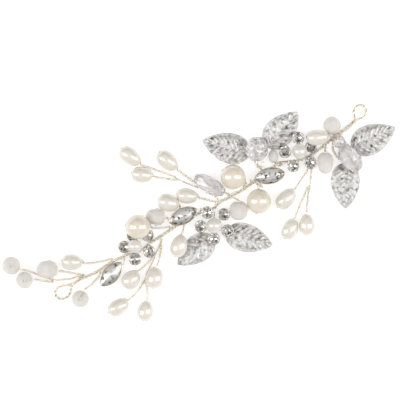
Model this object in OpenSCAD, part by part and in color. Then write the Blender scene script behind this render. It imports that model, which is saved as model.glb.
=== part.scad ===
// Hair vine: pearls, rhinestones, crystals, frosted beads and stamped leaves
// wired to both sides of a twisted spine that ends in two eyelet loops.
// It lies flat: +X runs along the spine, +Z is up, and z = 0 is the surface.

/* [Vine] */
// Distance from the seat of the first bead to the base of the last leaf: the beads keep their sizes
// and spread along it
vine_span = 141.27; // [141.27:0.01:149]

/* [Pearls] */
// Length of a rice pearl
rice_len = 8.8; // [8:0.1:9.4]
// Width of a rice pearl
rice_w = 6.5; // [5.6:0.1:6.8]
// Diameter of a large round pearl
big_pearl_d = 10; // [9:0.1:10.2]
// Diameter of a small round pearl in a cluster
small_pearl_d = 5.9; // [5:0.1:6.2]
// Diameter of the hole drilled in every bead
bead_bore = 0.9; // [0.8:0.05:1.2]

/* [Frosted beads] */
// Diameter of a frosted bead across its hole
frosted_d = 7.6; // [7:0.1:8]
// Length of a frosted bead along its hole
frosted_len = 6.3; // [5.8:0.1:6.8]

/* [Crystals] */
// Length of the long clear crystal
long_crystal_len = 13.2; // [11:0.1:14]
// Width of the long clear crystal
long_crystal_w = 7; // [6:0.1:7.4]
// Diameter of the round clear crystal
round_crystal_d = 9.4; // [8.4:0.1:9.6]
// Length of the drop-shaped clear crystal
drop_crystal_len = 11.4; // [10:0.1:12.4]
// Width of the drop-shaped clear crystal
drop_crystal_w = 8.4; // [7.4:0.1:8.8]
// Length of the small clear crystal beside the spine
neck_crystal_len = 4; // [3.4:0.1:4.1]
// Width of the small clear crystal beside the spine
neck_crystal_w = 5.4; // [4.4:0.1:5.6]

/* [Rhinestones] */
// Outer diameter of a round rhinestone setting
chaton_d = 5; // [4.6:0.1:5.1]
// Height of a round setting, base to rim
chaton_h = 2.4; // [2:0.1:2.8]
// Outer length of a navette setting
navette_len = 12.6; // [11.4:0.1:13]
// Outer width of a navette setting
navette_w = 6.8; // [6:0.1:7]
// Height of a navette setting, base to rim
navette_h = 2.6; // [2.2:0.1:3]
// Thickness of a setting's wall
setting_wall = 0.3; // [0.25:0.05:0.4]
// Height of a stone's crown above its rim
crown_h = 0.9; // [0.6:0.1:1.2]
// Diameter of a claw
claw_d = 0.5; // [0.4:0.05:0.6]

/* [Leaves] */
// Length of a stamped leaf
leaf_len = 19; // [17:0.1:19.6]
// Width of a stamped leaf
leaf_w = 11.5; // [10:0.1:11.8]
// Thickness of the leaf sheet
leaf_t = 0.5; // [0.4:0.05:0.6]
// Height of the leaf's arch from edge to edge
leaf_arch = 0.9; // [0.4:0.1:1.1]
// Diameter of the wire hole near the leaf's base
leaf_hole_d = 1.2; // [1.1:0.1:1.6]
// Distance of the wire hole from the leaf's base end
leaf_hole_at = 3.8; // [3.2:0.1:4.4]

/* [Wires] */
// Diameter of the twisted spine
spine_d = 1.2; // [0.9:0.1:1.3]
// Diameter of a twisted branch
branch_d = 0.7; // [0.5:0.05:0.75]
// Diameter of the single wire inside a bead
core_d = 0.45; // [0.3:0.05:0.5]
// Diameter of the wire of an end loop
loop_d = 0.9; // [0.7:0.05:1]

/* [Hidden] */
// Gap between pieces that touch on the real vine
gap = 0.12;
// Height of the spine's middle above the surface
spine_z = 1.2;
// Height on which the settings that cross the spine stand
deck_clearance = 0.2;
deck_z = spine_z + spine_d / 2 + deck_clearance;
// Height of a setting that stands beside the spine
low_z = 0.25;
// The vine is drawn as it lies before the viewer, then turned so that +X runs along it
lay_turn = 31;
mid_x = 0.12;
mid_y = -0.18;
chaton_r = chaton_d / 2;
stone_play = 0.1;
// Depth below a setting's rim at which its bowl turns straight
stone_ledge = 0.15;
stone_r = chaton_r - setting_wall - stone_play;
// Turn of each rhinestone against the one before it
stone_turn = 17;
// Foot of a round setting as a share of its rim
foot_share = 0.8;
// Room under a navette's stone on each side, in walls
navette_play = 3.4;
// Metal left above and below the channel that takes the wire
channel_wall = 0.25;
// How much a marquise outline is drawn out to a point
marquise_point = 0.4;
claw_turns = [45, 135, 225, 315];
navette_claw_turns = [50, 130, 230, 310];
navette_claw_share = 1.4;
navette_crown_share = 1.2;
hub_d = 1.2;
hub_z = deck_z + hub_d / 2;
knob_d = core_d * 1.6;
channel_d = core_d + 4 * gap;
channel_z = channel_d / 2 + channel_wall;
channel_top = channel_z + channel_d / 2;
tube_sides = 6;
spine_sides = 8;
profile_steps = 14;
// Roundness of a bead's profile: 1 is a ball, less is fuller
rice_power = 0.9;
rice_taper = 0.04;
frosted_power = 0.8;
crystal_sides = 8;
// Step along a route between rings of a wire, in wire diameters
route_step = 2.5;
loop_step = 1.6;
// Bearings at which a wire that goes round a bead begins and leaves it, and the step between them
round_start = 20;
round_end = 76;
round_step = 14;
// Height of the wire above and below the hole of a leaf
leaf_wire_up = 0.9;
leaf_wire_down = 0.4;
// Groove along a leaf's midrib
leaf_crease = 0.3;
upright = [0, 0, 1];
quarter_turn = 90;

// Rice pearls: seat x, seat y, heading, length share, width share, lift
rice_rows = [
    [-24.1, 14.5, 142, 1.07, 1.01, 0], [-9.4, 12.4, 137, 1.08, 1.03, 0],
    [-18.9, 9.4, 172, 0.97, 0.99, 0], [-0.9, 1.0, 172, 0.95, 0.95, 0],
    [-8.5, -2.5, 162, 0.97, 1.08, 0], [-47.0, -25.1, 177, 0.93, 0.98, 0],
    [-7.1, -14.0, 254, 1.02, 1.01, 0.9], [-25.0, -28.7, 230, 0.91, 1.07, 0],
    [-17.5, -26.9, 262, 0.95, 1.06, 0], [-29.0, -40.2, 215, 1.01, 0.98, 0],
    [-21.1, -40.4, 260, 0.90, 0.98, 0], [37.4, 3.9, 228, 1.05, 1.02, 0],
    [37.8, -7.6, 245, 0.99, 0.97, 0], [42.6, -5.7, 272, 0.94, 0.97, 0],
    [51.3, 25.3, 185, 1.00, 0.96, 3.1],
];
// Large pearls: seat x, seat y, heading, size share, lift
big_rows = [[-19.8, -11.1, 176, 0.99, 2.8], [17.7, 7.0, 154, 1.00, 1.2], [24.2, 4.4, 262, 0.99, 0]];
// Frosted beads: seat x, seat y, heading, diameter share, length share, way of the hole, lift,
// and on which side the wire goes round
frosted_rows = [
    [-72.0, -27.5, 159, 0.95, 1.0, "up", 0.95, 1], [-66.75, -31.7, 185, 0.89, 1.0, "up", 0.95, 1],
    [-57.1, -28.2, 174, 1.06, 1.06, "across", 0, -1], [-46.4, -36.4, 246, 0.90, 1.0, "up", 0.95, 1],
    [-14.1, -7.0, 176, 1.00, 0.97, "across", 0, 1], [15.3, -0.7, 272, 0.97, 1.1, "across", 1.9, -1],
    [55.2, 27.4, 135, 0.92, 1.05, "across", 0.8, -1], [50.0, 18.8, 270, 1.10, 0.96, "across", 1.5, 1],
    [29.5, 14.9, 94, 0.52, 0.80, "along", 1.6, 1],
];
// Crystals: seat x, seat y, heading, length, width, height of the middle
long_crystal_lift = 0.4;
drop_crystal_lift = 0.7;
crystal_rows = [
    [9.7, 3.0, 152, long_crystal_len, long_crystal_w, long_crystal_w / 2 + gap + long_crystal_lift],
    [22.5, 15.6, 90, round_crystal_d, round_crystal_d, round_crystal_d / 2 + gap],
    [54.5, 24.9, 303, neck_crystal_len, neck_crystal_w, drop_crystal_w / 2 + drop_crystal_lift],
    [56.75, 21.25, 307, drop_crystal_len, drop_crystal_w, drop_crystal_w / 2 + drop_crystal_lift],
];
// Navettes: middle x, middle y, heading
navette_rows = [[-35.5, -29.6, 48], [-6.7, -6.4, 25], [27.9, 9.7, 10]];
// Leaves: base x, base y, heading, length share, width share, pitch, sideways bend of the tip
leaf_rows = [
    [19.8, 18.4, 164, 1.03, 1.05, 1, 0], [27.2, 21.0, 55, 0.98, 1.03, 3, -1.5],
    [60.9, 20.4, 28, 1.01, 1.04, 2, -0.4], [58.0, 14.8, 271, 0.97, 1.00, 2, 0],
    [10.3, -12.8, 344, 1.03, 0.98, 2, 0], [5.2, -14.8, 218, 0.95, 0.95, 2, 0],
];
// Clusters: hub x, hub y, pearl size share, heading of the pearl's hole, start of the stem
cluster_rows = [
    [-26.0, -18.5, 0.94, 350, [-25.4, -19.4]], [5.7, -10.2, 1.05, 10, [5.7, -4.7]],
    [39.8, 19.4, 1.02, 280, [40.1, 17.3]],
];
// Rhinestones round each hub: bearing, reach as a share of touching the pearl, base height
chaton_rows = [
    [[184, 0.80, low_z], [271, 0.97, deck_z], [340, 1.15, deck_z], [41, 1.27, low_z], [100, 0.84, low_z]],
    [[118, 1.05, deck_z], [49, 1.06, deck_z], [184, 0.965, deck_z], [268, 0.95, deck_z], [339, 1.01, deck_z]],
    [[96, 0.99, 1.45], [182, 1.07, 1.0], [246, 1.155, deck_z], [314, 1.145, deck_z], [23.5, 0.91, 0.9]],
];

// Routes of the wires, chosen by hand, from the left eyelet loop along the spine to the right one
left_loop_route = [
    [-51.5, -35.4, 1.0], [-52.2, -37.6, 0.8], [-53.7, -39.0, 0.8], [-55.8, -39.5, 0.8], [-57.5, -38.4, 0.8],
    [-57.9, -36.6, 0.8], [-56.7, -34.9, 0.8], [-54.1, -34.1, 0.9], [-51.9, -33.9, 1.1],
];
spine_route = [
    [-50.3, -33.3, 1.2], [-47.8, -31.6, 1.2], [-43.8, -30.0, 1.2], [-39.7, -27.7, 1.2], [-34.4, -24.4, 1.2],
    [-28.4, -21.6, 1.2], [-23.4, -20.0, 1.2], [-19.8, -17.1, 1.2], [-15.7, -14.6, 1.2], [-11.6, -11.8, 1.2],
    [-6.8, -8.8, 1.2], [-0.6, -5.4, 1.2], [5.3, -3.5, 1.2], [7.7, -0.8, 1.2], [12.0, 1.2, 1.2],
    [17.7, 4.5, 1.2], [21.6, 7.4, 1.2], [26.0, 10.8, 1.2], [31.0, 14.5, 1.2], [35.3, 15.3, 1.2],
    [40.4, 16.1, 1.2], [45.1, 18.4, 1.2], [49.6, 21.8, 1.2], [54.7, 26.2, 1.2], [57.6, 27.9, 1.2],
    [61.0, 30.6, 1.2],
];
right_loop_route = [
    [62.3, 32.2, 1.1], [61.4, 34.0, 0.9], [61.5, 36.0, 0.8], [62.8, 37.7, 0.8], [64.7, 37.9, 0.8],
    [66.1, 36.6, 0.8], [66.2, 34.6, 0.8], [65.1, 33.0, 0.8], [63.5, 32.4, 0.8],
];
// Each branch: which list its bead is in, which bead, then the points up to it
far_left_branches = [
    ["frosted", 0, [[-48.2, -30.3, 2.2], [-51.4, -31.4, 1.6], [-54.9, -31.8, 1.2], [-57.8, -32.1, 1.1],
        [-60.4, -31.4, 1.0], [-62.8, -30.8, 1.1], [-65.7, -29.5, 1.6], [-68.7, -28.3, 2.9]]],
    ["frosted", 1, [[-58.8, -32.9, 1.1], [-61.2, -32.6, 1.5], [-64.0, -32.1, 2.6]]],
    ["frosted", 2, [[-46.6, -29.9, 1.3], [-49.7, -29.4, 1.5], [-53.4, -28.8, 2.8]]],
    ["frosted", 3, [[-39.8, -29.0, 1.2], [-40.8, -30.8, 1.2], [-42.9, -33.2, 1.6], [-45.0, -35.1, 2.9]]],
    ["rice", 5, [[-35.4, -23.6, 1.3], [-38.6, -24.3, 1.4], [-41.7, -25.0, 1.9], [-44.6, -25.3, 2.8]]],
    ["navette", 0, [[-30.3, -23.7, 1.3], [-30.2, -23.9, 2.2]]],
];
lower_branches = [
    ["rice", 9, [[-15.4, -16.0, 1.2], [-16.2, -18.4, 1.0], [-17.6, -21.1, 0.9], [-18.8, -24.2, 0.9],
        [-20.0, -26.8, 0.9], [-21.2, -29.0, 0.9], [-21.6, -31.0, 0.9], [-22.6, -32.9, 1.0],
        [-24.9, -36.4, 1.6], [-27.6, -39.1, 2.7]]],
    ["rice", 10, [[-21.6, -33.2, 1.0], [-21.0, -36.4, 1.4], [-20.9, -38.8, 2.5]]],
    ["rice", 8, [[-15.5, -18.0, 1.3], [-15.8, -21.2, 1.5], [-16.3, -23.8, 2.2], [-17.0, -25.8, 3.1]]],
    ["rice", 7, [[-19.1, -23.1, 1.3], [-21.0, -25.2, 1.6], [-23.2, -27.2, 2.7]]],
];
upper_branches = [
    ["knot", 0, [[7.2, 0.3, 1.3], [6.0, 1.5, 1.2], [4.0, 2.5, 1.0], [1.8, 3.7, 0.9], [-0.5, 5.0, 1.0],
        [-3.3, 6.0, 1.2], [-6.3, 7.2, 1.3], [-9.2, 8.3, 1.3]]],
    ["rice", 0, [[-9.9, 9.2, 1.3], [-14.0, 10.8, 1.5], [-18.6, 12.3, 1.9], [-22.2, 13.6, 2.9]]],
    ["rice", 2, [[-10.2, 8.1, 1.3], [-13.0, 8.4, 1.6], [-16.6, 9.0, 2.7]]],
    ["rice", 1, [[-0.8, 6.2, 1.2], [-3.6, 8.0, 1.5], [-6.3, 10.0, 2.2], [-8.4, 11.6, 3.0]]],
    ["rice", 3, [[6.2, -0.7, 1.3], [3.4, -0.1, 1.5], [0.8, 0.6, 2.5]]],
    ["crystal", 0, [[11.2, 2.1, 1.3], [11.5, 2.4, 2.4]]],
];
middle_branches = [
    ["navette", 1, [[0.3, -3.9, 1.3], [0.4, -3.5, 2.0]]],
    ["big", 0, [[-12.5, -10.7, 1.3], [-14.6, -11.1, 3.4], [-17.2, -11.2, 6.2]]],
    ["frosted", 4, [[-10.9, -10.0, 1.2], [-12.0, -8.4, 1.3], [-12.8, -7.6, 1.6]]],
    ["rice", 4, [[-8.2, -8.0, 1.2], [-8.5, -5.6, 1.2], [-8.4, -3.4, 1.35], [-8.0, -2.4, 2.0]]],
    ["rice", 6, [[-6.3, -10.0, 1.2], [-6.8, -12.0, 2.2], [-7.0, -13.2, 3.4]]],
    ["big", 1, [[17.3, 5.9, 1.4], [17.9, 6.3, 3.2], [18.3, 6.6, 5.0]]],
    ["frosted", 5, [[13.6, 0.8, 2.2], [14.2, 0.6, 3.6]]],
    ["big", 2, [[22.9, 6.3, 1.3], [24.1, 5.7, 3.0]]],
    ["navette", 2, [[20.2, 7.8, 1.3], [20.3, 8.1, 2.0]]],
    ["crystal", 1, [[24.7, 11.5, 1.3], [24.3, 12.8, 1.6], [23.1, 13.9, 3.0]]],
    ["frosted", 8, [[31.8, 13.6, 1.5], [31.3, 14.1, 2.9]]],
    ["leaf", 0, [[23.3, 13.0, 1.2], [22.5, 14.4, 1.1], [20.9, 16.7, 0.95], [18.6, 18.2, 1.5]]],
    ["leaf", 4, [[6.4, -10.6, 1.9], [9.4, -11.7, 1.5], [12.0, -12.7, 1.55]]],
    ["leaf", 5, [[5.4, -10.9, 1.9], [4.9, -13.4, 1.5], [3.8, -15.8, 1.55]]],
    ["leaf", 1, [[30.3, 15.2, 1.1], [29.3, 17.6, 1.0], [28.8, 20.2, 1.5], [29.0, 22.6, 1.9]]],
];
right_branches = [
    ["rice", 11, [[43.4, 16.0, 1.2], [42.9, 12.0, 1.3], [40.6, 8.4, 1.8], [38.6, 5.4, 2.8]]],
    ["rice", 13, [[45.2, 16.9, 1.2], [44.5, 11.8, 1.2], [44.2, 8.4, 1.2], [43.6, 4.4, 1.3], [43.0, -0.4, 1.8],
        [42.6, -4.0, 2.9]]],
    ["rice", 12, [[42.9, 5.0, 1.3], [41.2, 0.6, 1.4], [39.3, -3.6, 1.9], [38.2, -6.2, 2.8]]],
    ["frosted", 7, [[50.2, 20.9, 1.3], [50.0, 20.3, 2.8]]],
    ["frosted", 6, [[56.1, 27.1, 2.35]]],
    ["rice", 14, [[52.3, 25.4, 1.4], [52.9, 25.5, 3.4], [52.7, 25.5, 5.2]]],
    ["crystal", 3, [[54.0, 25.7, 2.3], [53.8, 25.9, 3.9]]],
    ["leaf", 2, [[55.9, 25.5, 1.2], [57.7, 23.7, 1.3], [60.2, 22.7, 1.4], [62.4, 22.0, 1.6]]],
    ["leaf", 3, [[53.0, 23.2, 1.2], [52.9, 21.2, 1.3], [53.7, 18.6, 1.4], [54.9, 15.8, 1.5],
        [56.4, 12.8, 1.6]]],
];

function unit(v) = v / norm(v);
function heading(a) = [cos(a), sin(a), 0];
function names(stem, count) = [for (i = [1:count]) str(stem, "_", i)];
// Places of the tables, spread from the span at which they are drawn to the vine's own
last_leaf = 2;
drawn_span = norm([leaf_rows[last_leaf][0] - frosted_rows[0][0], leaf_rows[last_leaf][1] - frosted_rows[0][1]]);
spread = vine_span / drawn_span;
function seat(row, z) = [row[0] * spread, row[1] * spread, z];
function spread_route(route) = [for (p = route) seat(p, p[2])];

// Middle of each bead, worked out from its seat at the end of its wire
function rice_at(i) = let (r = rice_rows[i])
    seat(r, rice_w * r[4] / 2 + gap + r[5]) + heading(r[2]) * rice_len * r[3] / 2;
function big_at(i) = let (r = big_rows[i])
    seat(r, big_pearl_d * r[3] / 2 + gap + r[4]) + heading(r[2]) * big_pearl_d * r[3] / 2;
function frosted_along(i) = let (r = frosted_rows[i])
    r[5] == "up" ? upright : heading(r[2] + (r[5] == "across" ? quarter_turn : 0));
function frosted_at(i) = let (r = frosted_rows[i], length = frosted_len * r[4], width = frosted_d * r[3])
    seat(r, (r[5] == "up" ? length : width) / 2 + gap + r[6])
    + heading(r[2]) * (r[5] == "along" ? length : width) / 2;
function crystal_at(i) = let (r = crystal_rows[i]) seat(r, r[5]) + heading(r[2]) * r[3] / 2;
function small_d(c) = small_pearl_d * cluster_rows[c][2];
function hub_at(c) = seat(cluster_rows[c], hub_z);
function small_at(c) = hub_at(c) + upright * (hub_d / 2 + gap + core_d + small_d(c) / 2);
function chaton_at(c, k) = let (r = chaton_rows[c][k])
    seat(cluster_rows[c], r[2]) + heading(r[0]) * r[1] * (small_d(c) + chaton_d) / 2;
function leaf_edge_z() = leaf_t / 2 + gap;
function leaf_hole(i) = let (r = leaf_rows[i])
    seat(r, leaf_edge_z() + leaf_arch / 2) + heading(r[2]) * leaf_hole_at;

// Sweep of a round wire along a list of points
function spline_point(p, i, t) =
    let (a = p[max(i - 1, 0)], b = p[i], c = p[i + 1], d = p[min(i + 2, len(p) - 1)])
    0.5 * (2 * b + (c - a) * t + (2 * a - 5 * b + 4 * c - d) * pow(t, 2)
        + (3 * b - a - 3 * c + d) * pow(t, 3));
function smooth(p, step) = concat(
    [for (i = [0:len(p) - 2]) let (n = max(1, round(norm(p[i + 1] - p[i]) / step)))
        for (s = [0:n - 1]) spline_point(p, i, s / n)],
    [p[len(p) - 1]]);
function tangents(p) = [for (i = [0:len(p) - 1]) unit(p[min(i + 1, len(p) - 1)] - p[max(i - 1, 0)])];
function carried(t, i, n) = i == len(t) ? [] :
    let (m = unit(n - (n * t[i]) * t[i])) concat([m], carried(t, i + 1, m));
function start_normal(t) = abs(t[2]) < 0.8 ? upright : [1, 0, 0];

module tube(path, radii, sides) {
    t = tangents(path);
    n = carried(t, 0, start_normal(t[0]));
    last = len(path) - 1;
    points = [for (i = [0:last]) let (b = cross(t[i], n[i])) for (k = [0:sides - 1])
        path[i] + radii[i] * (n[i] * cos(360 * k / sides) + b * sin(360 * k / sides))];
    walls = [for (i = [0:last - 1]) for (k = [0:sides - 1])
        let (a = i * sides + k, b = i * sides + (k + 1) % sides)
        each [[a, a + sides, b + sides], [a, b + sides, b]]];
    start_cap = [for (k = [0:sides - 1]) k];
    end_cap = [for (k = [sides - 1:-1:0]) last * sides + k];
    polyhedron(points, concat(walls, [start_cap, end_cap]));
}

module wire(route, d) {
    path = smooth(route, d * route_step);
    tube(path, [for (p = path) d / 2], tube_sides);
}

// Wire that runs along the route, through a bead from end to end, and ends in a knob
module threaded_wire(route, middle, dir, bead_len, lead = []) {
    half = bead_len / 2;
    stem_end = len(lead) > 0 ? [] : [middle - dir * (half + branch_d * 0.85)];
    way = smooth(concat(route, stem_end), branch_d * route_step);
    thread = [for (s = [-half - 0.1, half + 0.05, half + 0.12, half + 0.35, half + 0.45]) middle + dir * s];
    thread_r = [core_d / 2, core_d / 2, knob_d / 2, knob_d / 2, core_d / 4];
    tube(concat(way, lead, thread),
        concat([for (p = way) branch_d / 2], [for (p = lead) core_d / 2], thread_r), tube_sides);
}

// Wire that runs along the route, round one side of a bead to the mouth of its hole, and through it to a knob
module hugging_wire(route, middle, out, along, across_d, along_len, power, start) {
    off = core_d / 2 + gap;
    r = across_d / 2 + off;
    h = along_len / 2 + off;
    mouth = bead_bore / 2;
    side = [for (a = [start:round_step:round_end]) [-r * pow(cos(a), power), h * sin(a)]];
    turn = [[-mouth - 0.5, h + 0.1], [-mouth, h + 0.28], [-mouth / 3, h + 0.1], [0, h - 0.3]];
    thread = [[0, 0.3 - h], [0, 0.2 - h], [0, -h - 0.05], [0, -h - 0.15]];
    way = smooth(route, branch_d * route_step);
    loop = [for (p = concat(side, turn, thread)) middle + out * p[0] + along * p[1]];
    loop_r = [for (i = [0:len(loop) - 1]) i == len(loop) - 1 ? core_d / 4
        : i > len(loop) - 4 ? knob_d / 2 : core_d / 2];
    tube(concat(way, loop), concat([for (p = way) branch_d / 2], loop_r), tube_sides);
}

// Profile of a drilled bead: half section beside the hole
function bead_profile(length, width, power, taper) =
    let (stop = acos(pow(bead_bore / width * 1.25, 1 / power)))
    concat([[bead_bore / 2, -length / 2]],
        [for (i = [0:profile_steps]) let (a = -stop + 2 * stop * i / profile_steps)
            [width / 2 * pow(cos(a), power) * (1 + taper * sin(a)), length / 2 * sin(a) / sin(stop)]],
        [[bead_bore / 2, length / 2]]);

module bead(length, width, power, taper = 0) {
    rotate_extrude($fn = 48) polygon(bead_profile(length, width, power, taper));
}

// Cut bead: rings of facets turned half a step from each other, drilled lengthwise
module cut_bead(length, width, sides) {
    rings = [[-0.5, 0.42], [-0.36, 0.78], [-0.14, 1], [0.14, 1], [0.36, 0.78], [0.5, 0.42]];
    last = len(rings) - 1;
    points = [for (i = [0:last]) for (k = [0:sides - 1]) let (a = 360 * (k + (i % 2) / 2) / sides)
        [rings[i][1] * width / 2 * cos(a), rings[i][1] * width / 2 * sin(a), rings[i][0] * length]];
    walls = [for (i = [0:last - 1]) for (k = [0:sides - 1])
        let (a = i * sides + k, b = i * sides + (k + 1) % sides, turn = i % 2)
        each turn == 0
            ? [[a, a + sides, b], [b, a + sides, b + sides]]
            : [[a, b + sides, b], [a, a + sides, b + sides]]];
    ends = [[for (k = [0:sides - 1]) k], [for (k = [sides - 1:-1:0]) last * sides + k]];
    difference() {
        polyhedron(points, concat(walls, ends));
        translate([0, 0, -length]) cylinder(d = bead_bore, h = 2 * length, $fn = 24);
    }
}

// Outline of a stone: round when point is 0, a marquise when it is above
function outline(a, length, width, point) =
    [length / 2 * cos(a), width / 2 * sign(sin(a)) * pow(abs(sin(a)), 1 + point)];

// Brilliant cut: a table, stars, kites and girdle facets over a pointed pavilion
module brilliant(length, width, point, crown, depth) {
    table = [for (k = [0:7])
        let (p = outline(22.5 + 45 * k, length, width, point) * 0.56) [p[0], p[1], crown]];
    mids = [for (k = [0:7])
        let (p = outline(45 * k, length, width, point) * 0.8) [p[0], p[1], crown * 0.62]];
    girdle = [for (z = [0, -0.15]) for (k = [0:15])
        let (p = outline(22.5 * k, length, width, point)) [p[0], p[1], z]];
    points = concat(table, mids, girdle, [[0, 0, -depth]]);
    rim = 16;
    low = 32;
    tip = 48;
    faces = concat(
        [[for (k = [7:-1:0]) k]],
        [for (k = [0:7]) let (n = (k + 1) % 8) each [
            [k, n, 8 + n], [rim + 2 * k + 1, 8 + k, k], [8 + n, rim + 2 * k + 1, k],
            [rim + 2 * k + 1, rim + 2 * k, 8 + k], [rim + 2 * k, rim + (2 * k + 15) % 16, 8 + k]]],
        [for (k = [0:15]) let (n = (k + 1) % 16) each [
            [low + n, low + k, rim + k], [rim + n, low + n, rim + k], [low + n, tip, low + k]]]);
    polyhedron(points, faces);
}

// Ends of the channel that the hub's wire takes through a rhinestone's setting
function spoke_at(c, k, reach) =
    chaton_at(c, k) + heading(chaton_rows[c][k][0]) * reach + upright * channel_z;
function spoke_from(c, k) = spoke_at(c, k, -chaton_r - gap);
function spoke_to(c, k) = spoke_at(c, k, chaton_r - stone_play);

module rod(from, to, d) {
    v = to - from;
    translate(from) rotate([0, acos(v[2] / norm(v)), atan2(v[1], v[0])])
        cylinder(d = d, h = norm(v), $fn = 16);
}

module rice_pearl(i) {
    r = rice_rows[i];
    color("floralwhite") lay() translate(rice_at(i)) rotate([0, 90, r[2]])
        bead(rice_len * r[3], rice_w * r[4], rice_power, rice_taper);
}

module big_pearl(i) {
    r = big_rows[i];
    color("antiquewhite") lay() translate(big_at(i)) rotate([0, 90, r[2]])
        bead(big_pearl_d * r[3], big_pearl_d * r[3], 1);
}

module small_pearl(c) {
    color("floralwhite") lay() translate(small_at(c)) rotate([0, 90, cluster_rows[c][3]])
        bead(small_d(c), small_d(c), 1);
}

module frosted_bead(i) {
    r = frosted_rows[i];
    turn = r[5] == "across" ? r[2] + quarter_turn : r[2];
    color("gainsboro") lay() translate(frosted_at(i)) rotate(r[5] == "up" ? [0, 0, 0] : [0, 90, turn])
        bead(frosted_len * r[4], frosted_d * r[3], frosted_power);
}

module crystal_bead(i) {
    r = crystal_rows[i];
    color("lavender") lay() translate(crystal_at(i)) rotate([0, 90, r[2]])
        cut_bead(r[3], r[4], crystal_sides);
}

module cluster_stones(c) {
    color("whitesmoke") lay() for (k = [0:4])
        translate(chaton_at(c, k) + upright * chaton_h) rotate([0, 0, stone_turn * k])
            brilliant(2 * stone_r, 2 * stone_r, 0, crown_h, chaton_h - channel_top - channel_wall);
}

module cluster_settings(c) {
    seat_z = channel_top + 0.05;
    bowl_r = chaton_r - setting_wall;
    color("silver") lay() for (k = [0:4]) {
        out = heading(chaton_rows[c][k][0]);
        difference() {
            translate(chaton_at(c, k)) {
                cylinder(r1 = chaton_r * foot_share, r2 = chaton_r, h = chaton_h, $fn = 32);
                for (a = claw_turns) rotate([0, 0, a + stone_turn * k])
                    translate([chaton_r - setting_wall / 2 + claw_d / 4, 0, chaton_h / 2])
                        cylinder(d = claw_d, h = chaton_h / 2 + crown_h / 2, $fn = 16);
            }
            translate(chaton_at(c, k) + upright * seat_z)
                cylinder(r1 = channel_wall, r2 = bowl_r, h = chaton_h - seat_z - stone_ledge, $fn = 32);
            translate(chaton_at(c, k) + upright * (chaton_h - stone_ledge - 0.01))
                cylinder(r = bowl_r, h = chaton_h, $fn = 32);
            rod(spoke_from(c, k) - out, spoke_to(c, k) + out, channel_d);
        }
    }
}

function navette_at(i) = seat(navette_rows[i], deck_z);
module navette_shape(grow) {
    polygon([for (a = [0:15:345]) outline(a, navette_len + 2 * grow, navette_w + 2 * grow, marquise_point)]);
}

module navette_stone(i) {
    inset = navette_play * setting_wall;
    depth = navette_h - channel_top - channel_wall - 0.05;
    color("whitesmoke") lay() translate(navette_at(i) + upright * navette_h) rotate([0, 0, navette_rows[i][2]])
        brilliant(navette_len - inset, navette_w - inset, marquise_point, crown_h * navette_crown_share, depth);
}

module navette_setting(i) {
    floor_z = channel_top + channel_wall;
    color("palegoldenrod") lay() translate(navette_at(i)) rotate([0, 0, navette_rows[i][2]]) difference() {
        union() {
            linear_extrude(navette_h) navette_shape(0);
            for (a = navette_claw_turns) {
                p = outline(a, navette_len, navette_w, marquise_point);
                translate([p[0], p[1], navette_h / 2])
                    cylinder(d = claw_d * navette_claw_share, h = navette_h / 2 + crown_h / 2, $fn = 16);
            }
        }
        translate([0, 0, floor_z]) linear_extrude(2 * navette_h) navette_shape(-setting_wall);
        translate([-navette_len, 0, channel_z]) rotate([0, 90, 0])
            cylinder(d = channel_d, h = 2 * navette_len, $fn = 24);
    }
}

// Stamped leaf: an arched sheet, widest before its middle, creased along the midrib
function leaf_width_share(s) = pow(s, 0.52) * pow(1 - s, 0.85) / 0.401;
function leaf_z(s, v) = (leaf_arch * (1 - v * v) - leaf_crease * pow(1 - abs(v), 4)) * leaf_width_share(s);
module leaf_sheet(length, width, bend) {
    steps = 14;
    spans = 8;
    shares = [for (i = [0:steps]) min(0.994, max(0.006, (1 - cos(180 * i / steps)) / 2))];
    row = spans + 1;
    side = len(shares) * row;
    points = [for (z = [leaf_t / 2, -leaf_t / 2]) for (s = shares) for (k = [0:spans])
        let (v = 2 * k / spans - 1, side_y = v * leaf_width_share(s) * width / 2)
            [length * s, side_y + bend * s * s, leaf_z(s, v) + z]];
    sheet = [for (i = [0:steps - 1]) for (k = [0:spans - 1]) let (a = i * row + k)
        each [[a, a + 1, a + row + 1], [a, a + row + 1, a + row]]];
    under = [for (f = sheet) [f[2] + side, f[1] + side, f[0] + side]];
    rim = concat(
        [for (i = [0:steps]) i * row], [for (k = [1:spans]) steps * row + k],
        [for (i = [steps - 1:-1:0]) i * row + spans], [for (k = [spans - 1:-1:1]) k]);
    edge = [for (i = [0:len(rim) - 1]) let (a = rim[i], b = rim[(i + 1) % len(rim)])
        each [[a, b, b + side], [a, b + side, a + side]]];
    polyhedron(points, concat(sheet, under, edge));
}

module leaf(i) {
    r = leaf_rows[i];
    color("silver") lay() translate(seat(r, leaf_edge_z())) rotate([0, 0, r[2]]) rotate([0, -r[5], 0])
        difference() {
            leaf_sheet(leaf_len * r[3], leaf_w * r[4], r[6]);
            translate([leaf_hole_at, 0, -leaf_t * 4]) cylinder(d = leaf_hole_d, h = leaf_t * 10, $fn = 24);
        }
}

module spine_wire() {
    left = smooth(spread_route(left_loop_route), spine_d * loop_step);
    middle = smooth(spread_route(spine_route), spine_d * route_step);
    right = smooth(spread_route(right_loop_route), spine_d * loop_step);
    radii = concat([for (p = left) loop_d / 2], [for (p = middle) spine_d / 2], [for (p = right) loop_d / 2]);
    color("wheat") lay() tube(concat(left, middle, right), radii, spine_sides);
}

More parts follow.
